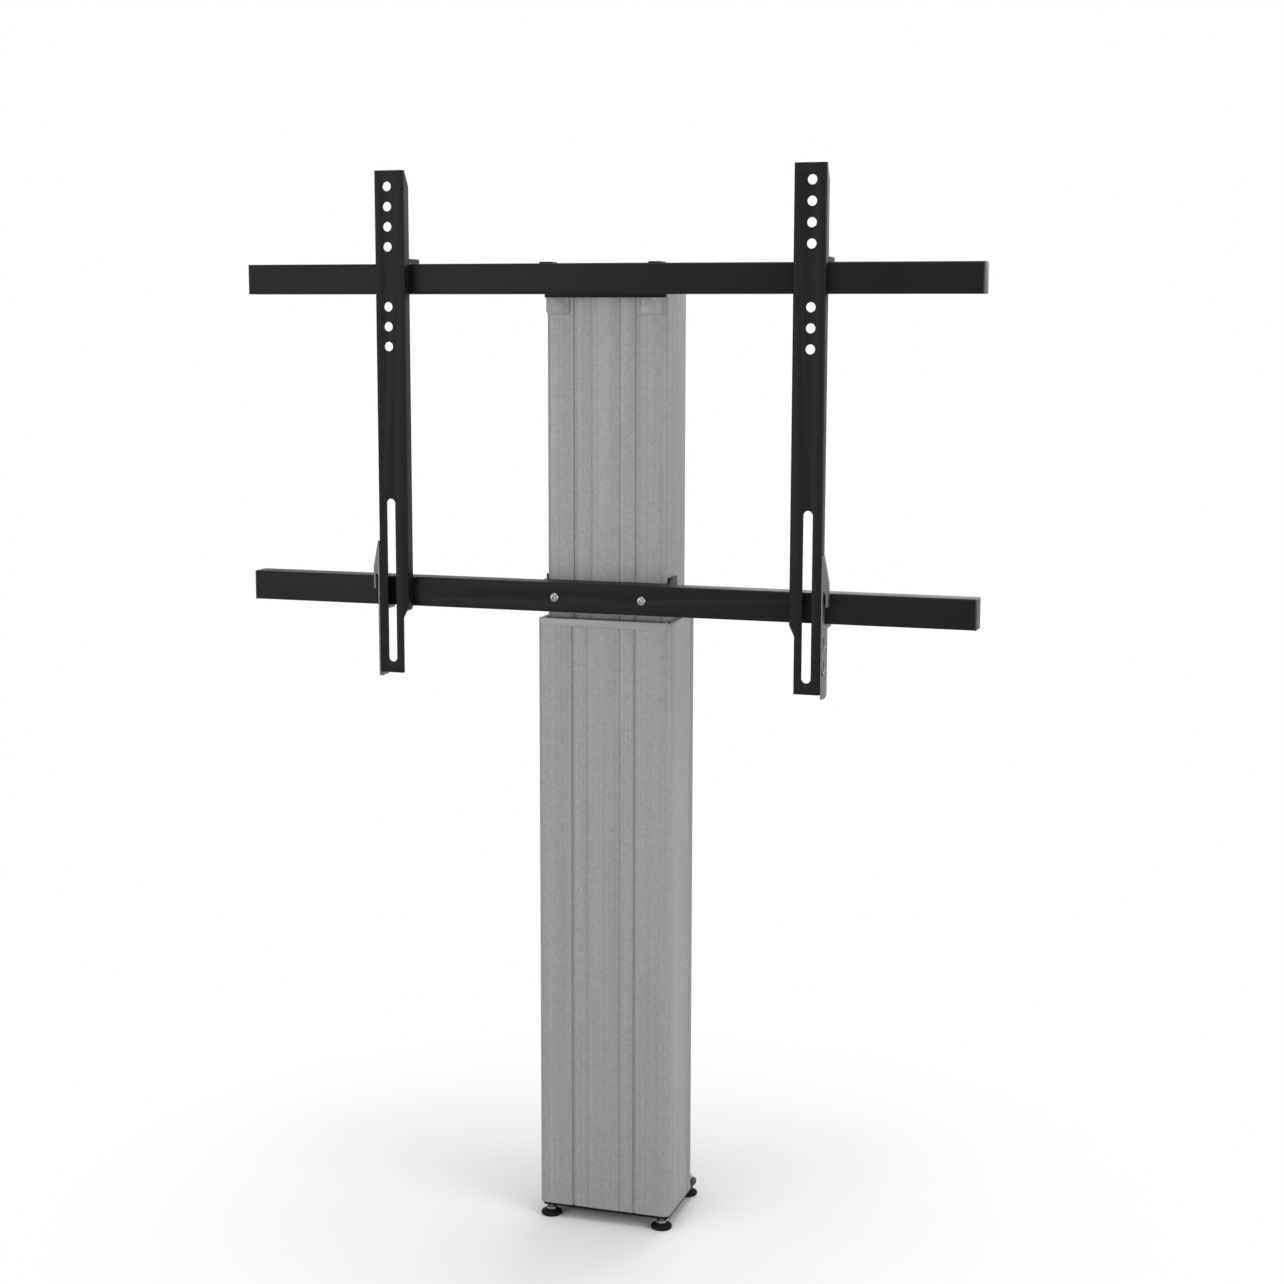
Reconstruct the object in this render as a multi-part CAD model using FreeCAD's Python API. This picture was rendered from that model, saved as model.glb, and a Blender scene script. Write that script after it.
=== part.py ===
import FreeCAD, Part
import math
import os

V = FreeCAD.Vector
X = V(1, 0, 0)
Y = V(0, 1, 0)
Z = V(0, 0, 1)

# Motorized wall lift: a column in two lengths, a spindle drive inside it, two rails
# across its inner length, and two hanging arms that slide on the rails.
# Origin on the floor under the column, +X to the viewer's right, +Y to the wall.

# Fits, how far a cut runs past its face, and how near two places count as one
FIT = 0.3
RUN = 0.05
PAST = 1.0
NEAR = 0.01

# Small machine screws used all over
SCREW_D = 4.0
SCREW_HEAD_D = 8.0
SCREW_HEAD_H = 2.2
CROWN = 0.45
SOCKET_ACROSS = 0.42
SOCKET_DEEP = 0.6

# Levelling feet
PAD_D = 28.0
PAD_H = 7.0
PAD_EDGE = 1.5
FOOT_HEX = 13.0
FOOT_HEX_H = 4.0
FOOT_GAP = 4.0
STUD_D = 8.0
STUD_UP = 30.0
STUD_TIP = 1.0
BUSH_WALL = 3.0
BUSH_H = 8.0
FOOT_IN = 13.0
FOOT_FRONT_IN = 12.0
FOOT_REAR_OUT = 21.0

# Base plate
BASE_T = 5.0
BASE_SIDE_IN = 2.0
BASE_FRONT_IN = 4.0
BASE_REAR_OUT = 35.0
BASE_CORNER = 8.0

# Outer column, an aluminium extrusion
OUTER_W = 180.0
OUTER_D = 110.0
OUTER_R = 9.0
WALL = 4.0
OUTER_STRONG_X = 42.0
OUTER_STRONG_W = 3.0
OUTER_LIGHT_X = 22.0
LIGHT_W = 2.0
LIGHT_DEEP = 1.0
STRONG_DEEP = 2.2
PANEL_DEEP = 0.6
SIDE_GROOVE_Y = 35.0
SIDE_GROOVE_W = 3.0
SIDE_GROOVE_DEEP = 1.5
CHANNEL_WALL = 1.25
CHANNEL_SUNK = 0.55
CHANNEL_Y = 33.0
BASE_SCREW_D = 3.5
BASE_SCREW_GRIP = 21.0

# Trim strip over the front top edge of the outer column
TRIM_T = 2.2
TRIM_H = 9.0
TRIM_LIP = 1.5
TRIM_IN = 5.0
TRIM_ROUND = 4.0

# Inner column and its guides
GAP_X = 6.0
GAP_Y = 6.0
INNER_R = 8.0
INNER_STRONG_X = 41.0
INNER_STRONG_W = 4.5
INNER_LIGHT_X = 19.0
STROKE = 500.0
GUIDED = 186.0
INNER_UP = 102.0
INNER_PAST_RAIL = -2.0
CAP_T = 3.0
CAP_PLUG = 10.0
GLIDE_H = 40.0
GLIDE_END = 8.0
GLIDE_FRONT_W = 60.0
GLIDE_SIDE_W = 46.0
LOWER_GLIDE_UP = 3.0

# Rails, folded from sheet
RAIL_L = 960.0
RAIL_H = 38.0
RAIL_D = 28.0
RAIL_T = 2.5
RAIL_BEND = 3.0
RAIL_PITCH = 400.0
RAIL_CLEAR = 10.5
END_CAP_T = 2.0
END_CAP_PLUG = 10.0
SEAT_T = 5.0

# Saddle of the upper rail, with its two ears, and the hangers behind it
UPPER_SADDLE_T = 3.0
UPPER_SADDLE_DOWN = 4.0
EAR_W = 15.0
EAR_T = 2.0
EAR_D = 22.0
EAR_IN = 1.0
HANGER_W = 31.0
HANGER_DOWN = 25.0
HANGER_ROUND = 5.0
HANGER_SCREW_STEP = 7.6

# Saddle of the lower rail and the rail's own screws
SADDLE_BELOW = 2.0
SADDLE_ABOVE = 6.0
SADDLE_SIDE_T = 3.3
SADDLE_SIDE_D = 40.0
SADDLE_SCREW_BACK = 24.0
SADDLE_SCREW_STEP = 9.5
RAIL_SCREW_IN = 22.0
RAIL_SCREW_D = 8.0
RAIL_HEAD_D = 12.0
RAIL_HEAD_H = 3.2
SLEEVE_D = 13.0
RAIL_NUT = 13.0
RAIL_NUT_H = 6.5

# Hanging arms
ARM_X = 275.0
ARM_OUT = 17.5
ARM_IN = 22.5
ARM_T = 2.5
ARM_D = 16.7
ARM_BEND = 3.0
ARM_ABOVE_RAIL = 116.0
ARM_BELOW_RAIL = 86.0
CHAMFER_DOWN = 20.0
CHAMFER_BACK = 12.0
ARM_STEP = 7.0
ARM_STEP_H = 14.0
HOLE_D = 12.0
HOLE_PITCH = 25.0
HOLE_EDGE = 20.0
HOLE_STEPS = (0, 1, 2, 3, 6, 7, 8)
SLOT_FIRST = 400.0
SLOT_LAST = 600.0
HOOK_H = 6.0
HOOK_NOSE = 10.0
HOOK_T = 3.7

# Latches on the outer sides of the arms
LATCH_T = 2.0
LATCH_D = 28.0
LATCH_STRIP_D = 10.0
LATCH_FRONT_IN = 1.0
LATCH_BELOW_ARM = 6.0
LATCH_ABOVE_RAIL = 47.0
LATCH_ROUND = 5.0
LATCH_TRAVEL = 12.0
LATCH_NOSE = 10.0
TAB_OUT = 6.0
TAB_T = 2.5
TAB_TOP = 45.0
TAB_WIDE = 14.0
TAB_UNDER = 4.0
TAB_DOWN = 15.0
SHOULDER_D = 4.0
SHOULDER_HEAD_D = 8.0
LATCH_SCREW_1 = 27.0
LATCH_SCREW_2 = 57.0

# Spindle drive
MOTOR_R = 30.0
MOTOR_L = 86.0
MOTOR_CAP_H = 4.0
MOTOR_FOOT_H = 10.0
MOTOR_FOOT_W = 84.0
MOTOR_FOOT_R = 10.0
MOTOR_SCREW_IN = 7.2
GEARBOX_R = 33.0
GEARBOX_L = 60.0
GEARBOX_EDGE = 2.0
TERMINAL_OUT = 22.0
TERMINAL_W = 22.0
TERMINAL_H = 20.0
BEARING_R = 17.0
BEARING_H = 10.0
NECK_R = 10.0
NECK_DOWN = 8.0
COLLAR_R = 14.0
COLLAR_H = 10.0
SPINDLE_D = 16.0
SPINDLE_SEAT = 15.0
SPINDLE_SPARE = 50.0
SPINDLE_TIP = 1.6
STOP_R = 14.0
STOP_H = 4.0
STOP_DOWN = 4.0
NUT_R = 13.0
NUT_FLANGE_R = 19.0
NUT_FLANGE_H = 6.0
NUT_L = 27.0
NUT_UP = 4.7
BRIDGE_T = 8.0
BRIDGE_TAB_H = 20.0
BRIDGE_TAB_T = 5.0
BRIDGE_HOLE_R = 9.5
NUT_BOLT_D = 3.0

# Wall brackets behind the outer column
WALL_GAP = 40.0
BRACKET_T = 3.0
BRACKET_H = 60.0
BRACKET_HALF = 40.0
WING_W = 36.0
BRACKET_LOW_UP = 100.0
BRACKET_TOP_DOWN = 48.0
WALL_HOLE_D = 9.0
WALL_HOLE_IN = 14.0
WALL_HOLE_PITCH = 30.0
BRACKET_BOLT_X = 25.0
BOLT_D = 6.0
BOLT_HEAD_D = 11.0
BOLT_HEAD_H = 3.4

# Control box behind the outer column
BOX_W = 120.0
BOX_D = 36.0
BOX_H = 260.0
BOX_UP = 240.0
BOX_WALL = 2.0
BOX_EDGE = 4.0
BOX_SCREW_IN = 8.0
BOX_SCREW_D = 3.0
BOX_SCREW_HEAD_D = 7.0
BOARD_T = 1.6
BOARD_UP = 6.0
BOARD_W = 96.0
BOARD_H = 130.0
BOARD_DOWN = 12.0
POST_D = 6.0
POST_IN = 6.0
CORE_W = 38.0
CORE_H = 52.0
CORE_D = 26.0
CORE_X = -30.0
CORE_UP = 36.0
COIL_W = 26.0
COIL_END = 8.0
COIL_PROUD = 4.0
CAPACITOR_D = 12.0
CAPACITOR_L = 16.0
CAPACITOR_UP = 24.0
CAPACITOR_XS = (-24.0, -8.0, 8.0)
INLET_X = 25.0
INLET_BACK = 17.0
INLET_W = 28.0
INLET_D = 20.0
INLET_H = 24.0
INLET_LIP = 2.0
INLET_WALL = 3.0
INLET_DEEP = 17.0
INLET_FLANGE = 2.0
PIN_L = 8.0
PIN_T = 2.0
PIN_W = 4.0
PIN_X = 7.0
PIN_Y = 2.0
LEAD_D = 6.0
LEAD_X = -45.0
LEAD_BACK = 27.0
LEAD_Z = 95.0
LEAD_BEND = 25.0
GROMMET_WALL = 3.0
GROMMET_LIP = 2.0
GROMMET_LIP_T = 1.5
CLIP_H = 8.0
CLIP_WALL = 3.0
CLIP_BELOW_BOX = 24.0
CLIP_ABOVE_BRACKET = 8.0

# Levels and planes worked out from the sizes above
BASE_Z = PAD_H + FOOT_HEX_H + FOOT_GAP
OUTER_Z = BASE_Z + BASE_T
OUTER_L = INNER_UP + STROKE + GUIDED
OUTER_TOP = OUTER_Z + OUTER_L
HALF_W = OUTER_W / 2
HALF_D = OUTER_D / 2
INNER_HALF_W = HALF_W - WALL - GAP_X
INNER_HALF_D = HALF_D - WALL - GAP_Y
HANGER_X = INNER_HALF_W - EAR_IN - HANGER_W / 2
RAIL_SCREW_X = INNER_HALF_W - RAIL_SCREW_IN
WALL_HOLE_X = BRACKET_HALF + WING_W - WALL_HOLE_IN
RAIL_LOW = OUTER_TOP + TRIM_LIP + RAIL_CLEAR
RAIL_HIGH = RAIL_LOW + RAIL_PITCH
RAIL_TOP = RAIL_HIGH + RAIL_H
INNER_TOP = RAIL_TOP + INNER_PAST_RAIL
INNER_Z = OUTER_Z + INNER_UP
SEAT_Y = -INNER_HALF_D - SEAT_T
RAIL_FRONT = SEAT_Y - RAIL_D
ARM_BACK = RAIL_FRONT - FIT
ARM_FRONT = ARM_BACK - ARM_D
ARM_TOP = RAIL_TOP + ARM_ABOVE_RAIL
ARM_Z = RAIL_LOW - ARM_BELOW_RAIL
HOLE_TOP = ARM_TOP - HOLE_EDGE
FOOT_X = HALF_W - FOOT_IN
FOOT_FRONT_Y = -HALF_D + FOOT_FRONT_IN
FOOT_REAR_Y = HALF_D + FOOT_REAR_OUT
MOTOR_Z = OUTER_Z + MOTOR_FOOT_H
CAN_Z = MOTOR_Z + MOTOR_CAP_H
GEAR_Z = CAN_Z + MOTOR_L
GEAR_TOP = GEAR_Z + GEARBOX_L
COLLAR_Z = GEAR_TOP + BEARING_H + FIT
COLLAR_TOP = COLLAR_Z + COLLAR_H
NUT_Z = COLLAR_TOP + NUT_UP
BRIDGE_Z = NUT_Z + NUT_L
BRIDGE_TOP = BRIDGE_Z + BRIDGE_T
SPINDLE_TOP = BRIDGE_TOP + STROKE + SPINDLE_SPARE
WALL_Y = HALF_D + WALL_GAP
BRACKET_LOW_Z = OUTER_Z + BRACKET_LOW_UP
BRACKET_TOP_Z = OUTER_TOP - BRACKET_TOP_DOWN - BRACKET_H
BOX_Z = OUTER_Z + BOX_UP
BOX_TOP = BOX_Z + BOX_H
BOARD_Y = HALF_D + BOX_WALL + BOARD_UP
BOARD_Z = BOX_TOP - BOARD_DOWN - BOARD_H
LEAD_Y = HALF_D + LEAD_BACK
INLET_Y = HALF_D + INLET_BACK


def box(x0, x1, y0, y1, z0, z1):
    """A box between two corners."""
    return Part.makeBox(x1 - x0, y1 - y0, z1 - z0, V(x0, y0, z0))


def rod(radius, start, along, length):
    """A round bar from a point along a direction."""
    return Part.makeCylinder(radius, length, start, along)


def ring(outer_r, inner_r, start, along, length):
    """A round sleeve."""
    return rod(outer_r, start, along, length).cut(rod(inner_r, start, along, length))


def hexagon(across, start, along, length):
    """A hexagonal bar, given across its flats."""
    radius = across / math.sqrt(3)
    turns = [k * math.pi / 3 for k in range(7)]
    points = [V(radius * math.cos(t), radius * math.sin(t), 0) for t in turns]
    prism = Part.Face(Part.makePolygon(points)).extrude(V(0, 0, length))
    prism.Placement = FreeCAD.Placement(start, FreeCAD.Rotation(Z, along))
    return prism


def screw(head_d, head_h, shank_d, length, seat, along):
    """A button head screw: its head sits on the seat and its shank runs on from there."""
    head = rod(head_d / 2, seat, along * -1, head_h)
    far = seat - along * head_h
    rim = [e for e in head.Edges if (e.CenterOfMass - far).Length < NEAR]
    head = head.makeFillet(head_h * CROWN, rim)
    head = head.cut(hexagon(head_d * SOCKET_ACROSS, far, along, head_h * SOCKET_DEEP))
    return head.fuse(rod(shank_d / 2, seat, along, length)).removeSplitter()


def upright_edges(solid, keep=lambda e: True):
    """The edges of a solid that run straight up."""
    found = []
    for edge in solid.Edges:
        a = edge.firstVertex().Point
        b = edge.lastVertex().Point
        if abs(a.x - b.x) < NEAR and abs(a.y - b.y) < NEAR and keep(a):
            found.append(edge)
    return found


def rounded_bar(half_w, half_d, radius, z0, z1):
    """An upright bar with rounded corners."""
    bar = box(-half_w, half_w, -half_d, half_d, z0, z1)
    return bar.makeFillet(radius, upright_edges(bar))


def union(shapes):
    """Several shapes fused into one."""
    whole = shapes[0]
    for shape in shapes[1:]:
        whole = whole.fuse(shape)
    return whole.removeSplitter()


def mirrored(shape):
    """The same piece on the other side of the column."""
    return shape.mirror(V(0, 0, 0), X)


def save(name, shapes):
    """Write one sub-part; a list holds separate solids of the same kind."""
    shape = Part.makeCompound(shapes) if isinstance(shapes, list) else shapes
    shape.exportStep("parts/" + name + ".step")


def foot_places():
    """The four feet, by name."""
    return {
        "front_left": V(-FOOT_X, FOOT_FRONT_Y, 0),
        "front_right": V(FOOT_X, FOOT_FRONT_Y, 0),
        "rear_left": V(-FOOT_X, FOOT_REAR_Y, 0),
        "rear_right": V(FOOT_X, FOOT_REAR_Y, 0),
    }


def foot_pad(place):
    """A round rubber pad with softened rims."""
    pad = rod(PAD_D / 2, place, Z, PAD_H)
    rims = [e for e in pad.Edges if e.Curve.TypeId == "Part::GeomCircle"]
    return pad.makeFillet(PAD_EDGE, rims)


def foot_stud(place):
    """A hexagon to turn the foot by, and the threaded stud above it."""
    hexa = hexagon(FOOT_HEX, place + Z * PAD_H, Z, FOOT_HEX_H)
    stud = rod(STUD_D / 2, place + Z * PAD_H, Z, OUTER_Z + STUD_UP - PAD_H)
    tip = [e for e in stud.Edges if abs(e.CenterOfMass.z - OUTER_Z - STUD_UP) < NEAR]
    stud = stud.makeChamfer(STUD_TIP, tip)
    return union([hexa, stud])


def foot_bush(place):
    """A threaded bush pressed into the base plate, with a collar on top of it."""
    outer = rod(STUD_D / 2 + BUSH_WALL, place + Z * OUTER_Z, Z, BUSH_H)
    neck = rod(STUD_D / 2 + BUSH_WALL / 2, place + Z * BASE_Z, Z, BASE_T)
    bore = rod(STUD_D / 2 + RUN, place + Z * BASE_Z, Z, BASE_T + BUSH_H)
    return union([outer, neck]).cut(bore)


def channel_places():
    """The four screw channels down the inside of the outer column, sunk a little into its wall."""
    x = HALF_W - WALL - BASE_SCREW_D / 2 - CHANNEL_WALL + CHANNEL_SUNK
    return [V(sx * x, sy * CHANNEL_Y, 0) for sx in (-1, 1) for sy in (-1, 1)]


def base_plate():
    """The plate that closes the foot of the column and carries the four feet."""
    half = HALF_W - BASE_SIDE_IN
    plate = box(-half, half, -HALF_D + BASE_FRONT_IN, HALF_D + BASE_REAR_OUT, BASE_Z, OUTER_Z)
    plate = plate.makeFillet(BASE_CORNER, upright_edges(plate))
    for place in foot_places().values():
        plate = plate.cut(rod(STUD_D / 2 + BUSH_WALL / 2, place + Z * BASE_Z, Z, BASE_T))
    for place in channel_places():
        plate = plate.cut(rod(BASE_SCREW_D / 2, place + Z * BASE_Z, Z, BASE_T))
    return plate


def base_screws():
    """Screws up through the plate into the channels of the column."""
    reach = BASE_T + BASE_SCREW_GRIP
    seats = [p + Z * BASE_Z for p in channel_places()]
    return [screw(SCREW_HEAD_D, SCREW_HEAD_H, BASE_SCREW_D, reach, seat, Z) for seat in seats]


def grooved(body, half_d, strong_x, strong_w, light_x, z0, z1):
    """Cut the grooves and the shallow panels down the front of a column."""
    start = -half_d - PAST
    strong = -half_d + STRONG_DEEP
    light = -half_d + LIGHT_DEEP
    panel = -half_d + PANEL_DEEP
    for side in (-1, 1):
        x = side * strong_x
        body = body.cut(box(x - strong_w / 2, x + strong_w / 2, start, strong, z0, z1))
        x = side * light_x
        body = body.cut(box(x - LIGHT_W / 2, x + LIGHT_W / 2, start, light, z0, z1))
        edges = sorted((side * (light_x + LIGHT_W / 2), side * (strong_x - strong_w / 2)))
        body = body.cut(box(edges[0], edges[1], start, panel, z0, z1))
    return body


def outer_column():
    """The fixed length: rounded tube, front grooves, side grooves and screw channels."""
    body = rounded_bar(HALF_W, HALF_D, OUTER_R, OUTER_Z, OUTER_TOP)
    hollow = rounded_bar(HALF_W - WALL, HALF_D - WALL, OUTER_R - WALL, OUTER_Z, OUTER_TOP)
    body = body.cut(hollow)
    for place in channel_places():
        body = body.fuse(rod(BASE_SCREW_D / 2 + CHANNEL_WALL, place + Z * OUTER_Z, Z, OUTER_L))
    for place in channel_places():
        body = body.cut(rod(BASE_SCREW_D / 2, place + Z * OUTER_Z, Z, OUTER_L))
    body = grooved(body, HALF_D, OUTER_STRONG_X, OUTER_STRONG_W, OUTER_LIGHT_X, OUTER_Z, OUTER_TOP)
    for side in (-1, 1):
        inner = side * (HALF_W - SIDE_GROOVE_DEEP)
        edges = sorted((inner, side * (HALF_W + PAST)))
        y0 = SIDE_GROOVE_Y - SIDE_GROOVE_W / 2
        y1 = SIDE_GROOVE_Y + SIDE_GROOVE_W / 2
        body = body.cut(box(edges[0], edges[1], y0, y1, OUTER_Z, OUTER_TOP))
    body = body.cut(rod(LEAD_D / 2 + GROMMET_WALL, V(LEAD_X, HALF_D, LEAD_Z), Y * -1, WALL))
    for place in bracket_bolt_places():
        body = body.cut(rod(BOLT_D / 2, place, Y * -1, WALL))
    return body.removeSplitter()


def top_trim():
    """A slim metal strip that covers the front top edge of the outer column."""
    half = HALF_W - TRIM_IN
    front = -HALF_D - TRIM_T
    strip = box(-half, half, front, -HALF_D, OUTER_TOP - TRIM_H, OUTER_TOP + TRIM_LIP)
    ends = []
    for edge in strip.Edges:
        a = edge.firstVertex().Point
        b = edge.lastVertex().Point
        if abs(a.x - b.x) < NEAR and abs(a.z - b.z) < NEAR and a.z < OUTER_TOP:
            ends.append(edge)
    strip = strip.makeFillet(TRIM_ROUND, ends)
    lip = box(-half, half, -HALF_D - TRIM_T / 2, -HALF_D + WALL, OUTER_TOP, OUTER_TOP + TRIM_LIP)
    return union([strip, lip])


def inner_column():
    """The travelling length, with the same grooved front."""
    radius = INNER_R - WALL
    body = rounded_bar(INNER_HALF_W, INNER_HALF_D, INNER_R, INNER_Z, INNER_TOP)
    hollow = rounded_bar(INNER_HALF_W - WALL, INNER_HALF_D - WALL, radius, INNER_Z, INNER_TOP)
    body = body.cut(hollow)
    body = grooved(body, INNER_HALF_D, INNER_STRONG_X, INNER_STRONG_W, INNER_LIGHT_X, INNER_Z, INNER_TOP)
    for place in rail_screw_places():
        body = body.cut(rod(RAIL_SCREW_D / 2, V(place.x, -INNER_HALF_D, place.z), Y, WALL))
    for place in hanger_screw_places():
        body = body.cut(rod(SCREW_D / 2, V(place.x, -INNER_HALF_D, place.z), Y, WALL))
    for place in saddle_screw_places() + bridge_screw_places():
        start = V(math.copysign(INNER_HALF_W - WALL, place.x), place.y, place.z)
        body = body.cut(rod(SCREW_D / 2, start, X * math.copysign(1, place.x), WALL))
    return body.removeSplitter()


def top_cap():
    """A moulded lid over the open top of the inner column."""
    half_w = INNER_HALF_W - WALL
    half_d = INNER_HALF_D - WALL
    radius = INNER_R - WALL
    low = INNER_TOP - CAP_PLUG
    lid = rounded_bar(half_w + WALL / 2, half_d + WALL / 2, radius + WALL / 2, INNER_TOP, INNER_TOP + CAP_T)
    plug = rounded_bar(half_w, half_d, radius, low, INNER_TOP)
    hollow = rounded_bar(half_w - WALL, half_d - WALL, radius, low, INNER_TOP)
    return lid.fuse(plug.cut(hollow)).removeSplitter()


def upper_glides():
    """Plastic slides fixed inside the mouth of the outer column."""
    z1 = OUTER_TOP - GLIDE_END
    z0 = z1 - GLIDE_H
    pads = []
    for side in (-1, 1):
        near = side * (INNER_HALF_D + FIT)
        far = side * (HALF_D - WALL)
        y = sorted((near, far))
        pads.append(box(-GLIDE_FRONT_W / 2, GLIDE_FRONT_W / 2, y[0], y[1], z0, z1))
        near = side * (INNER_HALF_W + FIT)
        far = side * (HALF_W - WALL)
        x = sorted((near, far))
        pads.append(box(x[0], x[1], -GLIDE_SIDE_W / 2, GLIDE_SIDE_W / 2, z0, z1))
    return pads


def lower_glides():
    """Plastic slides clipped round the foot of the inner column."""
    z0 = INNER_Z + LOWER_GLIDE_UP
    z1 = z0 + GLIDE_H
    pads = []
    for side in (-1, 1):
        y = sorted((side * INNER_HALF_D, side * (HALF_D - WALL - FIT)))
        pads.append(box(-GLIDE_FRONT_W / 2, GLIDE_FRONT_W / 2, y[0], y[1], z0, z1))
        x = sorted((side * INNER_HALF_W, side * (HALF_W - WALL - FIT)))
        pads.append(box(x[0], x[1], -GLIDE_SIDE_W / 2, GLIDE_SIDE_W / 2, z0, z1))
    return pads


def bridge_screw_places():
    """Two screws in each side of the inner column, at the tabs of the bridge."""
    z = BRIDGE_TOP + BRIDGE_TAB_H / 2
    y = INNER_HALF_D / 4
    return [V(sx * INNER_HALF_W, sy * y, z) for sx in (-1, 1) for sy in (-1, 1)]


def nut_bolt_places():
    """Four bolts through the flange of the nut."""
    radius = (NUT_R + NUT_FLANGE_R) / 2
    turns = [math.pi / 4 + k * math.pi / 2 for k in range(4)]
    return [V(radius * math.cos(t), radius * math.sin(t), BRIDGE_Z - NUT_FLANGE_H) for t in turns]


def nut_bridge():
    """A plate across the inside of the inner column, with a tab up each side."""
    half_w = INNER_HALF_W - WALL
    half_d = INNER_HALF_D - WALL
    plate = rounded_bar(half_w, half_d, INNER_R - WALL, BRIDGE_Z, BRIDGE_TOP)
    tabs = []
    for side in (-1, 1):
        x = sorted((side * half_w, side * (half_w - BRIDGE_TAB_T)))
        tabs.append(box(x[0], x[1], -half_d / 2, half_d / 2, BRIDGE_TOP, BRIDGE_TOP + BRIDGE_TAB_H))
    body = union([plate] + tabs)
    body = body.cut(rod(BRIDGE_HOLE_R, V(0, 0, BRIDGE_Z), Z, BRIDGE_T))
    for place in nut_bolt_places():
        body = body.cut(rod(NUT_BOLT_D / 2, V(place.x, place.y, BRIDGE_Z), Z, BRIDGE_T))
    for place in bridge_screw_places():
        inward = X * -math.copysign(1, place.x)
        body = body.cut(rod(SCREW_D / 2, place + inward * WALL, inward, BRIDGE_TAB_T))
    return body.removeSplitter()


def bridge_screws():
    """Low screws through the column's sides into the tabs, and bolts up through the nut."""
    screws = []
    for place in bridge_screw_places():
        inward = X * -math.copysign(1, place.x)
        screws.append(screw(SCREW_HEAD_D, SCREW_HEAD_H, SCREW_D, WALL + BRIDGE_TAB_T, place, inward))
    for place in nut_bolt_places():
        screws.append(rod(NUT_BOLT_D / 2, place, Z, NUT_FLANGE_H + BRIDGE_T))
    return screws


def spindle_nut():
    """The bronze nut that climbs the spindle, with its flange under the bridge."""
    body = rod(NUT_R, V(0, 0, NUT_Z), Z, NUT_L)
    flange = rod(NUT_FLANGE_R, V(0, 0, BRIDGE_Z - NUT_FLANGE_H), Z, NUT_FLANGE_H)
    bore = rod(SPINDLE_D / 2 + RUN, V(0, 0, NUT_Z), Z, NUT_L)
    whole = union([body, flange]).cut(bore)
    for place in nut_bolt_places():
        whole = whole.cut(rod(NUT_BOLT_D / 2, place, Z, NUT_FLANGE_H))
    return whole


def spindle():
    """The lifting screw, chamfered at its top."""
    low = COLLAR_TOP - SPINDLE_SEAT
    bar = rod(SPINDLE_D / 2, V(0, 0, low), Z, SPINDLE_TOP - low)
    tip = [e for e in bar.Edges if abs(e.CenterOfMass.z - SPINDLE_TOP) < NEAR]
    return bar.makeChamfer(SPINDLE_TIP, tip)


def spindle_coupler():
    """The sleeve that joins the gearbox to the spindle; its collar sits on the bearing."""
    low = GEAR_TOP - NECK_DOWN
    neck = rod(NECK_R, V(0, 0, low), Z, COLLAR_TOP - low)
    collar = rod(COLLAR_R, V(0, 0, COLLAR_Z), Z, COLLAR_H)
    bore_low = COLLAR_TOP - SPINDLE_SEAT
    bore = rod(SPINDLE_D / 2, V(0, 0, bore_low), Z, SPINDLE_SEAT)
    return union([neck, collar]).cut(bore)


def spindle_stop():
    """A washer near the top of the spindle that stops the nut."""
    top = SPINDLE_TOP - STOP_DOWN
    return ring(STOP_R, SPINDLE_D / 2, V(0, 0, top - STOP_H), Z, STOP_H)


def spindle_bearing():
    """The bearing between the gearbox and the collar of the spindle."""
    return ring(BEARING_R, NECK_R + RUN, V(0, 0, GEAR_TOP), Z, BEARING_H)


def motor_can():
    """The drawn steel can of the motor, with the block that takes its lead."""
    can = rod(MOTOR_R, V(0, 0, CAN_Z), Z, MOTOR_L)
    x0 = -MOTOR_R - TERMINAL_OUT
    y1 = TERMINAL_W / 2
    z0 = LEAD_Z - TERMINAL_H / 2
    block = box(x0, 0, -y1, y1, z0, z0 + TERMINAL_H)
    return union([can, block])


def motor_end_cap():
    """The lower end cap of the motor."""
    cap = rod(MOTOR_R, V(0, 0, MOTOR_Z), Z, MOTOR_CAP_H)
    rim = [e for e in cap.Edges if abs(e.CenterOfMass.z - MOTOR_Z) < NEAR]
    return cap.makeChamfer(MOTOR_CAP_H / 3, rim)


def gearbox_housing():
    """The gearbox on top of the motor, with the mouth its output turns in."""
    body = rod(GEARBOX_R, V(0, 0, GEAR_Z), Z, GEARBOX_L)
    rims = [e for e in body.Edges if e.Curve.TypeId == "Part::GeomCircle"]
    body = body.makeFillet(GEARBOX_EDGE, rims)
    mouth = rod(NECK_R + RUN, V(0, 0, GEAR_TOP - NECK_DOWN - FIT), Z, NECK_DOWN + FIT)
    return body.cut(mouth)


def motor_foot():
    """The square foot that stands the motor on the base plate."""
    half = MOTOR_FOOT_W / 2
    foot = box(-half, half, -half, half, OUTER_Z, MOTOR_Z)
    foot = foot.makeFillet(MOTOR_FOOT_R, upright_edges(foot))
    for place in motor_screw_places():
        foot = foot.cut(rod(SCREW_D / 2, place - Z * MOTOR_FOOT_H, Z, MOTOR_FOOT_H))
    return foot


def motor_screw_places():
    """The four corners of the motor's foot."""
    r = MOTOR_FOOT_W / 2 - MOTOR_SCREW_IN
    return [V(sx * r, sy * r, MOTOR_Z) for sx in (-1, 1) for sy in (-1, 1)]


def motor_screws():
    """Screws that hold the motor's foot to the base plate."""
    seats = motor_screw_places()
    return [screw(SCREW_HEAD_D, SCREW_HEAD_H, SCREW_D, MOTOR_FOOT_H, p, Z * -1) for p in seats]


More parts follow.
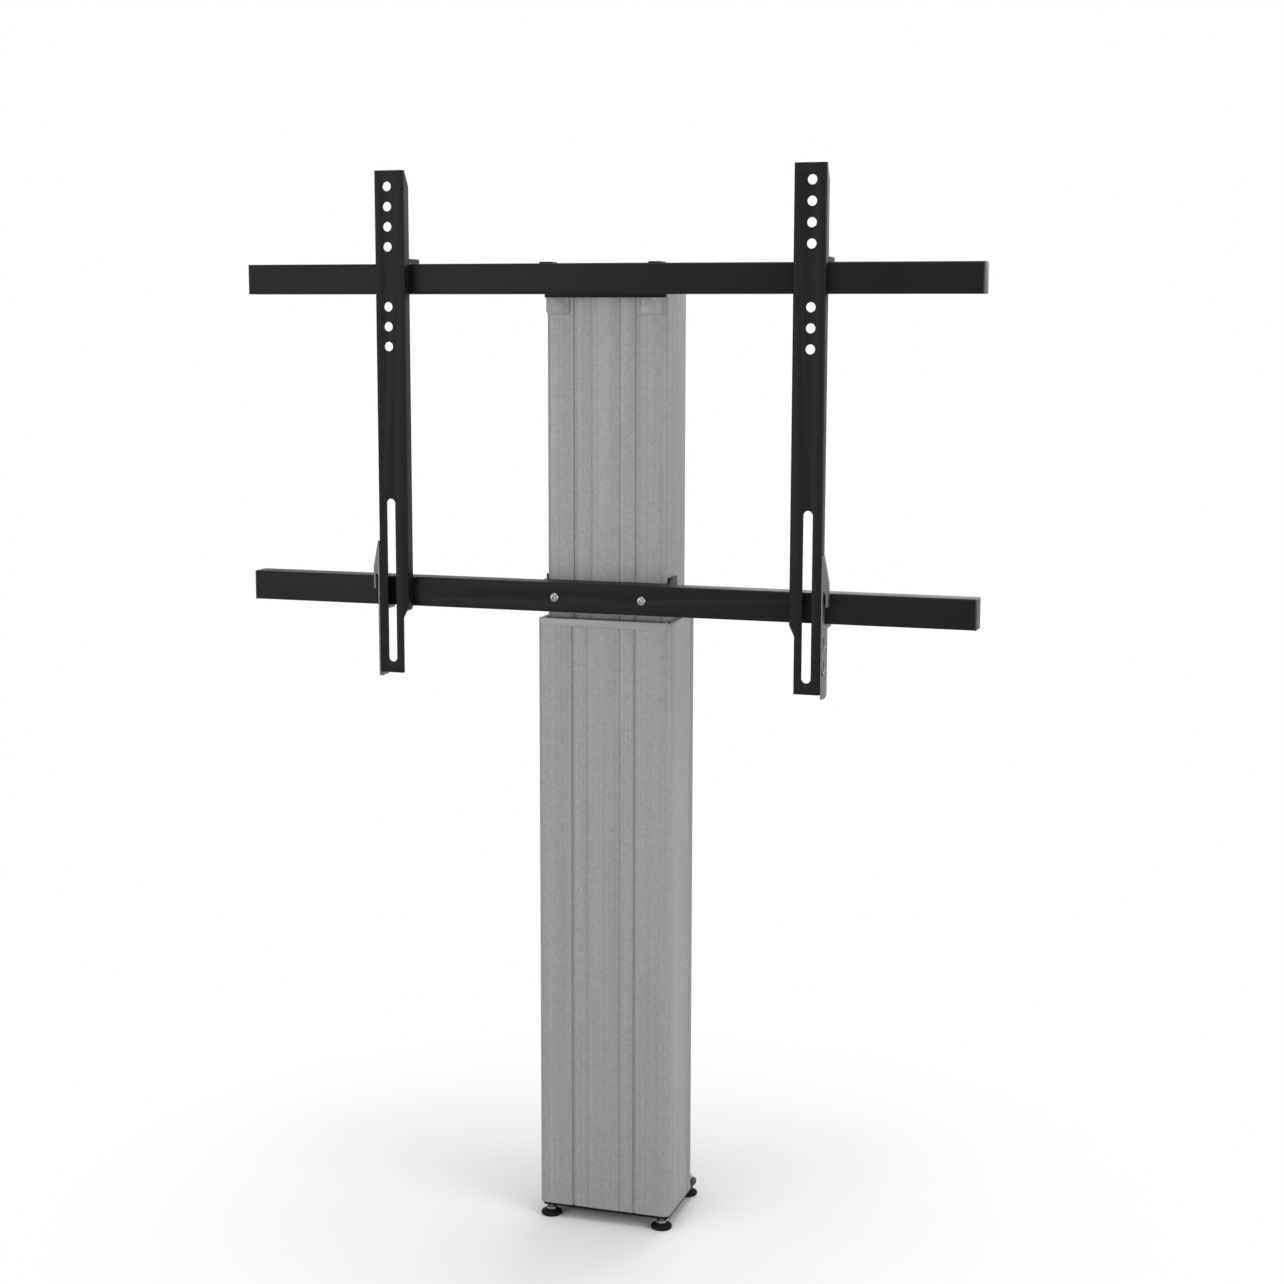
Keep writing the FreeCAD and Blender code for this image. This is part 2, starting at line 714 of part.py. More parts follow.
def rail(z):
    """One rail: a channel open to the back, folded from sheet."""
    half = RAIL_L / 2 - END_CAP_T
    outer = box(-half, half, RAIL_FRONT, SEAT_Y, z, z + RAIL_H)
    fold = []
    for edge in outer.Edges:
        a = edge.firstVertex().Point
        b = edge.lastVertex().Point
        if abs(a.y - RAIL_FRONT) < NEAR and abs(b.y - RAIL_FRONT) < NEAR and abs(a.z - b.z) < NEAR:
            fold.append(edge)
    outer = outer.makeFillet(RAIL_BEND, fold)
    inside = box(-half, half, RAIL_FRONT + RAIL_T, SEAT_Y, z + RAIL_T, z + RAIL_H - RAIL_T)
    return outer.cut(inside)


def rail_screw_places():
    """The two screws in the middle of the lower rail."""
    z = RAIL_LOW + RAIL_H / 2
    return [V(side * RAIL_SCREW_X, RAIL_FRONT, z) for side in (-1, 1)]


def upper_rail():
    """The upper rail, drilled for the ear screws of its saddle."""
    body = rail(RAIL_HIGH)
    for place in ear_screw_places():
        body = body.cut(rod(SCREW_D / 2, place, Z, RAIL_T))
    return body


def lower_rail():
    """The lower rail, drilled for its two screws."""
    body = rail(RAIL_LOW)
    for place in rail_screw_places():
        body = body.cut(rod(RAIL_SCREW_D / 2, place, Y, RAIL_T))
    return body


def rail_end_caps():
    """Moulded caps that close the four ends of the rails."""
    caps = []
    edge = RAIL_L / 2
    for z in (RAIL_HIGH, RAIL_LOW):
        for side in (-1, 1):
            x = sorted((side * edge, side * (edge - END_CAP_T)))
            face = box(x[0], x[1], RAIL_FRONT, SEAT_Y, z, z + RAIL_H)
            x = sorted((side * (edge - END_CAP_T), side * (edge - END_CAP_T - END_CAP_PLUG)))
            z0 = z + RAIL_T
            z1 = z + RAIL_H - RAIL_T
            plug = box(x[0], x[1], RAIL_FRONT + RAIL_T, SEAT_Y - RAIL_T, z0, z1)
            caps.append(union([face, plug]))
    return caps


def rail_screws():
    """Button head screws through the lower rail, the saddle and the column."""
    reach = RAIL_D + SEAT_T + WALL + RAIL_NUT_H
    places = rail_screw_places()
    return [screw(RAIL_HEAD_D, RAIL_HEAD_H, RAIL_SCREW_D, reach, p, Y) for p in places]


def rail_spacers():
    """Sleeves that keep the screws from crushing the lower rail."""
    start = RAIL_FRONT + RAIL_T
    sleeves = []
    for p in rail_screw_places():
        sleeves.append(ring(SLEEVE_D / 2, RAIL_SCREW_D / 2, V(p.x, start, p.z), Y, SEAT_Y - start))
    return sleeves


def rail_nuts():
    """Hexagon nuts on those screws, inside the column."""
    nuts = []
    for p in rail_screw_places():
        start = V(p.x, -INNER_HALF_D + WALL, p.z)
        nut = hexagon(RAIL_NUT, start, Y, RAIL_NUT_H)
        nuts.append(nut.cut(rod(RAIL_SCREW_D / 2, start, Y, RAIL_NUT_H)))
    return nuts


def ear_screw_places():
    """One screw for each ear, up through the sheet of the rail."""
    x = INNER_HALF_W - EAR_IN - EAR_W / 2
    y = SEAT_Y - EAR_D / 2
    return [V(side * x, y, RAIL_TOP - RAIL_T) for side in (-1, 1)]


def hanger_screw_places():
    """Two screws behind the upper rail for each hanger."""
    z = RAIL_HIGH + RAIL_H / 2
    step = HANGER_SCREW_STEP
    return [V(side * HANGER_X, SEAT_Y, z + k * step) for side in (-1, 1) for k in (-1, 1)]


def upper_saddle():
    """The plate that the upper rail seats on, with two ears over the rail."""
    back = SEAT_Y + UPPER_SADDLE_T
    low = RAIL_HIGH - UPPER_SADDLE_DOWN
    pieces = [box(-INNER_HALF_W, INNER_HALF_W, SEAT_Y, back, low, RAIL_TOP)]
    for side in (-1, 1):
        far = side * (INNER_HALF_W - EAR_IN)
        x = sorted((far, far - side * EAR_W))
        pieces.append(box(x[0], x[1], SEAT_Y - EAR_D, back, RAIL_TOP, RAIL_TOP + EAR_T))
    body = union(pieces)
    for place in hanger_screw_places():
        body = body.cut(rod(SCREW_D / 2, place, Y, UPPER_SADDLE_T))
    for place in ear_screw_places():
        body = body.cut(rod(SCREW_D / 2, place + Z * RAIL_T, Z, EAR_T))
    return body.removeSplitter()


def hanger():
    """The right hanger: a plate between the saddle and the column, rounded at its foot."""
    x0 = HANGER_X - HANGER_W / 2
    x1 = HANGER_X + HANGER_W / 2
    low = RAIL_HIGH - HANGER_DOWN
    body = box(x0, x1, SEAT_Y + UPPER_SADDLE_T, -INNER_HALF_D, low, RAIL_TOP)
    foot = []
    for edge in body.Edges:
        a = edge.firstVertex().Point
        b = edge.lastVertex().Point
        if abs(a.x - b.x) < NEAR and abs(a.z - low) < NEAR and abs(b.z - low) < NEAR:
            foot.append(edge)
    body = body.makeFillet(HANGER_ROUND, foot)
    for place in hanger_screw_places():
        body = body.cut(rod(SCREW_D / 2, place, Y, SEAT_T))
    return body


def hanger_screws():
    """Screws through saddle and hangers into the column, and those up into the ears."""
    screws = []
    for place in hanger_screw_places():
        screws.append(screw(SCREW_HEAD_D, SCREW_HEAD_H, SCREW_D, SEAT_T + WALL, place, Y))
    for place in ear_screw_places():
        screws.append(screw(SCREW_HEAD_D, SCREW_HEAD_H, SCREW_D, RAIL_T + EAR_T, place, Z))
    return screws


def lower_saddle():
    """The saddle behind the lower rail, wrapped round the front of the column."""
    half = INNER_HALF_W + SADDLE_SIDE_T
    z0 = RAIL_LOW - SADDLE_BELOW
    z1 = RAIL_LOW + RAIL_H + SADDLE_ABOVE
    block = box(-half, half, SEAT_Y, -INNER_HALF_D + SADDLE_SIDE_D, z0, z1)
    front = upright_edges(block, lambda p: abs(p.y - SEAT_Y) < NEAR)
    block = block.makeFillet(SEAT_T, front)
    body = block.cut(rounded_bar(INNER_HALF_W, INNER_HALF_D, INNER_R, z0, z1))
    body = body.cut(box(-half, half, SEAT_Y, -INNER_HALF_D + INNER_R, RAIL_LOW + RAIL_H, z1))
    for place in rail_screw_places():
        body = body.cut(rod(RAIL_SCREW_D / 2, V(place.x, SEAT_Y, place.z), Y, SEAT_T))
    for place in saddle_screw_places():
        body = body.cut(rod(SCREW_D / 2, place, X * (-1 if place.x > 0 else 1), SADDLE_SIDE_T))
    return body.removeSplitter()


def saddle_screw_places():
    """Two screws in each side of the saddle."""
    x = INNER_HALF_W + SADDLE_SIDE_T
    y = -INNER_HALF_D + SADDLE_SCREW_BACK
    z = RAIL_LOW + RAIL_H / 2
    step = SADDLE_SCREW_STEP
    return [V(side * x, y, z + k * step) for side in (-1, 1) for k in (-1, 1)]


def saddle_screws():
    """The side screws of the saddle."""
    screws = []
    for p in saddle_screw_places():
        along = X * (-1 if p.x > 0 else 1)
        screws.append(screw(SCREW_HEAD_D, SCREW_HEAD_H, SCREW_D, SADDLE_SIDE_T + WALL, p, along))
    return screws


def arm_hook(x0, x1):
    """A hook in the plane of a flange: over the upper rail and down behind it."""
    z0 = RAIL_TOP + FIT
    z1 = z0 + HOOK_H
    back = SEAT_Y + FIT + HOOK_T
    tongue = box(x0, x1, ARM_BACK - PAST, back, z0, z1)
    nose = box(x0, x1, SEAT_Y + FIT, back, z0 - HOOK_NOSE, z1)
    return tongue.fuse(nose)


def right_arm():
    """The right arm: a folded channel with its holes, its long slot and its hooks."""
    x0 = ARM_X - ARM_IN
    x1 = ARM_X + ARM_OUT
    block = box(x0, x1, ARM_FRONT, ARM_BACK, ARM_Z, ARM_TOP)
    front = upright_edges(block, lambda p: abs(p.y - ARM_FRONT) < NEAR)
    block = block.makeFillet(ARM_BEND, front)
    body = block.cut(box(x0 + ARM_T, x1 - ARM_T, ARM_FRONT + ARM_T, ARM_BACK, ARM_Z, ARM_TOP))
    body = body.cut(arm_step(x0))
    body = body.cut(top_chamfer(x0, x1))
    for step in HOLE_STEPS:
        place = V(ARM_X, ARM_FRONT, HOLE_TOP - step * HOLE_PITCH)
        body = body.cut(rod(HOLE_D / 2, place, Y, ARM_T))
    body = body.cut(arm_slot())
    for place in latch_screw_places():
        body = body.cut(rod(SHOULDER_D / 2, V(x1 - ARM_T, place.y, place.z), X, ARM_T))
    hooks = [arm_hook(x0, x0 + ARM_T), arm_hook(x1 - ARM_T, x1)]
    return union([body] + hooks)


def arm_step(x0):
    """What is cut from the inner side of the arm below the lower rail."""
    top = RAIL_LOW
    low = top - ARM_STEP_H
    side = x0 - PAST
    foot = ARM_Z - PAST
    corners = [V(side, 0, top), V(x0, 0, top), V(x0 + ARM_STEP, 0, low)]
    corners += [V(x0 + ARM_STEP, 0, foot), V(side, 0, foot), V(side, 0, top)]
    face = Part.Face(Part.makePolygon(corners))
    return face.extrude(V(0, ARM_D, 0)).translated(V(0, ARM_FRONT, 0))


def top_chamfer(x0, x1):
    """The slanted corner at the top of both flanges."""
    near = ARM_BACK - CHAMFER_BACK
    far = ARM_BACK + PAST
    low = ARM_TOP - CHAMFER_DOWN
    high = ARM_TOP + PAST
    corners = [V(x0, far, high), V(x0, near, high), V(x0, near, ARM_TOP)]
    corners += [V(x0, ARM_BACK, low), V(x0, far, low), V(x0, far, high)]
    return Part.Face(Part.makePolygon(corners)).extrude(V(x1 - x0, 0, 0))


def arm_slot():
    """The long upright slot that takes the lower hanging screws."""
    z1 = HOLE_TOP - SLOT_FIRST
    z0 = HOLE_TOP - SLOT_LAST
    radius = HOLE_D / 2
    slot = box(ARM_X - radius, ARM_X + radius, ARM_FRONT, ARM_FRONT + ARM_T, z0, z1)
    for z in (z0, z1):
        slot = slot.fuse(rod(radius, V(ARM_X, ARM_FRONT, z), Y, ARM_T))
    return slot


def latch_screw_places():
    """The two guide screws of the right latch, on the arm's outer face."""
    y = ARM_FRONT + ARM_D / 2
    x = ARM_X + ARM_OUT
    return [V(x, y, ARM_Z + up) for up in (LATCH_SCREW_1, LATCH_SCREW_2)]


def right_latch_screws():
    """Shoulder screws: they pass the slots of the latch and clamp nothing."""
    screws = []
    for place in latch_screw_places():
        reach = LATCH_T + 2 * FIT
        seat = place + X * reach
        screws.append(screw(SHOULDER_HEAD_D, SCREW_HEAD_H, SHOULDER_D, reach + ARM_T, seat, X * -1))
    return screws


def right_latch():
    """The zinc plate that locks the arm under the lower rail, with its finger tab."""
    x0 = ARM_X + ARM_OUT + FIT
    x1 = x0 + LATCH_T
    y0 = ARM_FRONT + LATCH_FRONT_IN
    y1 = y0 + LATCH_D
    foot = ARM_Z - LATCH_BELOW_ARM
    top = RAIL_LOW - FIT
    plate = box(x0, x1, y0, y1, foot, top)
    rounds = [e for e in plate.Edges if abs(e.CenterOfMass.z - foot) < NEAR and e.Length < LATCH_D / 2]
    plate = plate.makeFillet(LATCH_ROUND, rounds)
    strip = box(x0, x1, y0, y0 + LATCH_STRIP_D, top - LATCH_D, RAIL_LOW + RAIL_H + LATCH_ABOVE_RAIL)
    back = SEAT_Y + FIT + HOOK_T
    tongue = box(x0, x1, y1 - PAST, back, top - HOOK_H, top)
    nose = box(x0, x1, SEAT_Y + FIT, back, top - HOOK_H, top + LATCH_NOSE)
    body = union([plate, strip, finger_tab(x1, y0), tongue, nose])
    for place in latch_screw_places():
        radius = SHOULDER_D / 2 + FIT
        start = V(x0, place.y, place.z)
        slot = box(x0, x1, place.y - radius, place.y + radius, place.z, place.z + LATCH_TRAVEL)
        slot = slot.fuse(rod(radius, start, X, LATCH_T))
        slot = slot.fuse(rod(radius, start + Z * LATCH_TRAVEL, X, LATCH_T))
        body = body.cut(slot)
    return body.removeSplitter()


def finger_tab(x1, y0):
    """The tab of a latch: it flares out above the lower rail and hangs in front of it."""
    level = RAIL_LOW + RAIL_H
    out = x1 + TAB_OUT
    inside = out - TAB_T
    outline = [(x1, level + TAB_TOP), (out, level + TAB_WIDE), (out, level - TAB_DOWN)]
    outline += [(inside, level - TAB_DOWN), (inside, level + TAB_UNDER), (x1, level + TAB_UNDER)]
    corners = [V(x, y0, z) for x, z in outline + outline[:1]]
    return Part.Face(Part.makePolygon(corners)).extrude(V(0, LATCH_STRIP_D, 0))


def bracket_levels():
    """The lower ends of the two wall brackets."""
    return (BRACKET_LOW_Z, BRACKET_TOP_Z)


def bracket_bolt_places():
    """Four bolts hold each bracket to the back of the column."""
    places = []
    for z in bracket_levels():
        for sx in (-1, 1):
            for k in (-1, 1):
                places.append(V(sx * BRACKET_BOLT_X, HALF_D, z + BRACKET_H / 2 + k * WALL_HOLE_PITCH / 2))
    return places


def wall_bracket(z):
    """A folded bracket: its middle on the column, its two wings on the wall."""
    z1 = z + BRACKET_H
    inner = BRACKET_HALF - BRACKET_T
    middle = box(-BRACKET_HALF, BRACKET_HALF, HALF_D, HALF_D + BRACKET_T, z, z1)
    pieces = [middle]
    for side in (-1, 1):
        x = sorted((side * inner, side * BRACKET_HALF))
        pieces.append(box(x[0], x[1], HALF_D, WALL_Y, z, z1))
        x = sorted((side * inner, side * (BRACKET_HALF + WING_W)))
        pieces.append(box(x[0], x[1], WALL_Y - BRACKET_T, WALL_Y, z, z1))
    body = union(pieces)
    for side in (-1, 1):
        for k in (-1, 1):
            at = V(side * WALL_HOLE_X, WALL_Y, z + BRACKET_H / 2 + k * WALL_HOLE_PITCH / 2)
            body = body.cut(rod(WALL_HOLE_D / 2, at, Y * -1, BRACKET_T))
    for place in bracket_bolt_places():
        if z < place.z < z1:
            body = body.cut(rod(BOLT_D / 2, place, Y, BRACKET_T))
    return body.removeSplitter()


def bracket_bolts():
    """Bolts through the brackets into the back wall of the outer column."""
    bolts = []
    for place in bracket_bolt_places():
        seat = place + Y * BRACKET_T
        bolts.append(screw(BOLT_HEAD_D, BOLT_HEAD_H, BOLT_D, BRACKET_T + WALL, seat, Y * -1))
    return bolts


def control_box_tray():
    """The back plate of the control box, flat on the column."""
    half = BOX_W / 2
    plate = box(-half, half, HALF_D, HALF_D + BOX_WALL, BOX_Z, BOX_TOP)
    posts = []
    for p in board_posts():
        posts.append(rod(POST_D / 2, V(p.x, HALF_D + BOX_WALL, p.z), Y, BOARD_UP))
    return union([plate] + posts)


def board_posts():
    """Where the circuit board stands on the tray."""
    x = BOARD_W / 2 - POST_IN
    levels = (BOARD_Z + POST_IN, BOARD_Z + BOARD_H - POST_IN)
    return [V(sx * x, 0, z) for sx in (-1, 1) for z in levels]


def circuit_board():
    """The controller's board."""
    half = BOARD_W / 2
    return box(-half, half, BOARD_Y, BOARD_Y + BOARD_T, BOARD_Z, BOARD_Z + BOARD_H)


def transformer():
    """The supply transformer, a laminated core with its winding."""
    y0 = HALF_D + BOX_WALL
    y1 = y0 + CORE_D
    z0 = BOX_Z + CORE_UP
    z1 = z0 + CORE_H
    core = box(CORE_X - CORE_W / 2, CORE_X + CORE_W / 2, y0, y1, z0, z1)
    x0 = CORE_X - COIL_W / 2
    coil = box(x0, x0 + COIL_W, y0, y1 + COIL_PROUD, z0 + COIL_END, z1 - COIL_END)
    return union([core, coil])


def capacitors():
    """Three reservoir capacitors on the board."""
    y0 = BOARD_Y + BOARD_T
    z0 = BOARD_Z + CAPACITOR_UP
    return [rod(CAPACITOR_D / 2, V(x, y0, z0), Y, CAPACITOR_L) for x in CAPACITOR_XS]


def control_box_cover():
    """The lid of the control box, open towards the column."""
    half = BOX_W / 2
    y0 = HALF_D + BOX_WALL
    y1 = HALF_D + BOX_D
    shell = box(-half, half, y0, y1, BOX_Z, BOX_TOP)
    rim = [e for e in shell.Edges if abs(e.CenterOfMass.y - y1) < NEAR]
    shell = shell.makeFillet(BOX_EDGE, rim)
    inner = half - BOX_WALL
    room = box(-inner, inner, y0, y1 - BOX_WALL, BOX_Z + BOX_WALL, BOX_TOP - BOX_WALL)
    shell = shell.cut(room)
    x0 = INLET_X - INLET_W / 2
    y2 = INLET_Y - INLET_D / 2
    shell = shell.cut(box(x0, x0 + INLET_W, y2, y2 + INLET_D, BOX_Z, BOX_Z + BOX_WALL))
    shell = shell.cut(rod(LEAD_D / 2, V(LEAD_X, LEAD_Y, BOX_Z), Z, BOX_WALL))
    for p in cover_screw_places():
        shell = shell.cut(rod(BOX_SCREW_D / 2, p, Y * -1, BOX_WALL))
    return shell


def cover_screw_places():
    """The four corners of the cover."""
    x = BOX_W / 2 - BOX_SCREW_IN
    y = HALF_D + BOX_D
    levels = (BOX_Z + BOX_SCREW_IN, BOX_TOP - BOX_SCREW_IN)
    return [V(sx * x, y, z) for sx in (-1, 1) for z in levels]


def control_box_screws():
    """Long screws through the cover into the tray."""
    reach = BOX_D - BOX_WALL
    seats = cover_screw_places()
    return [screw(BOX_SCREW_HEAD_D, SCREW_HEAD_H, BOX_SCREW_D, reach, p, Y * -1) for p in seats]


def mains_inlet():
    """The appliance inlet in the underside of the box, its mouth facing down."""
    x0 = INLET_X - INLET_W / 2
    y0 = INLET_Y - INLET_D / 2
    x1 = x0 + INLET_W
    y1 = y0 + INLET_D
    mouth = BOX_Z - INLET_LIP
    body = box(x0, x1, y0, y1, mouth, mouth + INLET_H)
    edge = INLET_FLANGE
    lip = box(x0 - edge, x1 + edge, y0 - edge, y1 + edge, mouth, BOX_Z)
    top = mouth + INLET_DEEP
    wall = INLET_WALL
    room = box(x0 + wall, x1 - wall, y0 + wall, y1 - wall, mouth, top)
    body = union([body, lip]).cut(room)
    pins = []
    for x, y in ((-PIN_X, -PIN_Y), (0, PIN_Y), (PIN_X, -PIN_Y)):
        x = INLET_X + x - PIN_T / 2
        y = INLET_Y + y - PIN_W / 2
        pins.append(box(x, x + PIN_T, y, y + PIN_W, top - PIN_L, top))
    return union([body] + pins)


def motor_lead():
    """The lead from the control box down and through the column's back to the motor."""
    front = TERMINAL_W / 2
    top = BOX_Z + BOX_WALL
    turn = V(LEAD_X, LEAD_Y, LEAD_Z)
    down = V(LEAD_X, LEAD_Y, LEAD_Z + LEAD_BEND)
    on = V(LEAD_X, LEAD_Y - LEAD_BEND, LEAD_Z)
    centre = V(LEAD_X, LEAD_Y - LEAD_BEND, LEAD_Z + LEAD_BEND)
    middle = centre + (turn - centre).normalize() * LEAD_BEND
    run = Part.LineSegment(V(LEAD_X, LEAD_Y, top), down).toShape()
    bend = Part.Arc(down, middle, on).toShape()
    last = Part.LineSegment(on, V(LEAD_X, front, LEAD_Z)).toShape()
    circle = Part.makeCircle(LEAD_D / 2, V(LEAD_X, LEAD_Y, top), Z * -1)
    return Part.Wire([run, bend, last]).makePipeShell([Part.Wire([circle])], True, False)


def lead_grommet():
    """The rubber grommet round the lead in the back wall of the column."""
    radius = LEAD_D / 2 + GROMMET_WALL
    sleeve = rod(radius, V(LEAD_X, HALF_D, LEAD_Z), Y * -1, WALL)
    outside = V(LEAD_X, HALF_D + GROMMET_LIP_T, LEAD_Z)
    lip = rod(radius + GROMMET_LIP, outside, Y * -1, GROMMET_LIP_T)
    bore = rod(LEAD_D / 2, outside, Y * -1, WALL + GROMMET_LIP_T)
    return union([sleeve, lip]).cut(bore)


def lead_clips():
    """Clips that hold the lead off the back of the column."""
    half = LEAD_D / 2 + CLIP_WALL
    levels = (BOX_Z - CLIP_BELOW_BOX, BRACKET_LOW_Z + BRACKET_H + CLIP_ABOVE_BRACKET)
    clips = []
    for z in levels:
        clip = box(LEAD_X - half, LEAD_X + half, HALF_D, LEAD_Y + half, z, z + CLIP_H)
        clips.append(clip.cut(rod(LEAD_D / 2, V(LEAD_X, LEAD_Y, z), Z, CLIP_H)))
    return clips


def main():
    """Write every sub-part."""
    os.makedirs("parts", exist_ok=True)
    save("outer_column", outer_column())
    save("top_trim", top_trim())
    save("upper_glides", upper_glides())
    save("base_plate", base_plate())
    save("base_screws", base_screws())
    save("foot_bushes", [foot_bush(p) for p in foot_places().values()])
    save("motor_can", motor_can())
    save("motor_end_cap", motor_end_cap())
    save("gearbox_housing", gearbox_housing())
    save("motor_foot", motor_foot())
    save("motor_screws", motor_screws())
    save("spindle_bearing", spindle_bearing())
    save("control_box_tray", control_box_tray())
    save("control_box_cover", control_box_cover())
    save("circuit_board", circuit_board())
    save("transformer", transformer())
    save("capacitors", capacitors())
    save("mains_inlet", mains_inlet())
    save("control_box_screws", control_box_screws())
    save("wall_bracket_upper", wall_bracket(BRACKET_TOP_Z))
    save("wall_bracket_lower", wall_bracket(BRACKET_LOW_Z))
    save("bracket_bolts", bracket_bolts())
    save("motor_lead", motor_lead())
    save("lead_grommet", lead_grommet())
    save("lead_clips", lead_clips())
    save("inner_column", inner_column())
    save("top_cap", top_cap())
    save("lower_glides", lower_glides())
    save("nut_bridge", nut_bridge())
    save("spindle_nut", spindle_nut())
    save("bridge_screws", bridge_screws())
    save("upper_rail", upper_rail())
    save("lower_rail", lower_rail())
    save("rail_end_caps", rail_end_caps())
    save("upper_saddle", upper_saddle())
    save("hanger_right", hanger())
    save("hanger_left", mirrored(hanger()))
    save("hanger_screws", hanger_screws())
    save("lower_saddle", lower_saddle())
    save("saddle_screws", saddle_screws())
    save("rail_screws", rail_screws())
    save("rail_spacers", rail_spacers())
    save("rail_nuts", rail_nuts())
    save("spindle", spindle())
    save("spindle_coupler", spindle_coupler())
    save("spindle_stop", spindle_stop())
    save("right_arm", right_arm())
    save("left_arm", mirrored(right_arm()))
    save("right_latch", right_latch())
    save("left_latch", mirrored(right_latch()))
    save("right_latch_screws", right_latch_screws())
    save("left_latch_screws", [mirrored(s) for s in right_latch_screws()])
    for name, place in foot_places().items():
        save("foot_" + name + "_pad", foot_pad(place))
        save("foot_" + name + "_stud", foot_stud(place))


main()
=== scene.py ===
# %% [markdown]
# A motorized wall lift: a silver column in two lengths, two black rails across it and two
# black arms that hook over the rails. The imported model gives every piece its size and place,
# so this lesson starts by loading it as a fixed frame, and measures everything from it.

# %% Load the frame
import bmesh
import bpy
from math import cos, pi, radians, sin
from mathutils import Matrix, Vector


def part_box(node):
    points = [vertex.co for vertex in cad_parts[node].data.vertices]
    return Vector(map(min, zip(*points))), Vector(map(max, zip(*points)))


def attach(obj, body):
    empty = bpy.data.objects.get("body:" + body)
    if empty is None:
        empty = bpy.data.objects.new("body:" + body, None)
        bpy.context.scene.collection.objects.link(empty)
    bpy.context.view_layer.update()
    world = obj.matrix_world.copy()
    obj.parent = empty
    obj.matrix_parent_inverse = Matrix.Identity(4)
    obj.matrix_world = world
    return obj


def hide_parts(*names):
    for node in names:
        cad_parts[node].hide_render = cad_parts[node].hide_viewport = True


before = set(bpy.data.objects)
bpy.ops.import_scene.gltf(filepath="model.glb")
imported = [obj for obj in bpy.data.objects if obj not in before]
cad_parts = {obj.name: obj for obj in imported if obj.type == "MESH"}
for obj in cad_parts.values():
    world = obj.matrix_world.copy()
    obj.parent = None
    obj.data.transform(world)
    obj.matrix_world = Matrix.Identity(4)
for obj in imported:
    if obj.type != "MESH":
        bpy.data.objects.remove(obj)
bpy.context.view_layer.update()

# %% [markdown]
# Sizes here are in metres, so one small value keeps the millimetres readable. A piece is
# measured once with its two corners, and the corners then place every detail on it.

# %% Millimetres and measured corners
MM = 0.001


def corners(node):
    """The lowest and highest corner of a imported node."""
    low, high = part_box(node)
    return Vector(low), Vector(high)


print("column:", [round(v, 3) for v in corners("outer_column")[1]])

# %% [markdown]
# Finishes are worked out by nodes. Writing the sums as Python expressions keeps them short:
# this class wraps a socket and adds a Math node for each operator, with the reflected forms,
# so that 1 - mask works as well as mask * 2.

# %% Numbers on sockets
class Number:
    """A socket that adds, subtracts and multiplies like a number."""

    def __init__(self, finish, socket):
        self.finish = finish
        self.socket = socket

    def math(self, operation, *values):
        node = self.finish.node("ShaderNodeMath", {"operation": operation}, dict(enumerate(values)))
        return Number(self.finish, node.outputs[0])

    def __add__(self, other):
        return self.math("ADD", self, other)

    def __sub__(self, other):
        return self.math("SUBTRACT", self, other)

    def __mul__(self, other):
        return self.math("MULTIPLY", self, other)

    def __radd__(self, other):
        return self.math("ADD", other, self)

    def __rsub__(self, other):
        return self.math("SUBTRACT", other, self)

    def __rmul__(self, other):
        return self.math("MULTIPLY", other, self)

    def above(self, limit):
        return self.math("GREATER_THAN", self, limit)

    def sine(self):
        return self.math("SINE", self)


print("operators: + - *")

# %% [markdown]
# One method adds any other node: first its settings, such as a ramp's stops, then the values
# or links of its sockets. The patterns all read Object coordinates, because every piece keeps
# its place in its mesh, and so a pattern stays where it is when the piece moves.

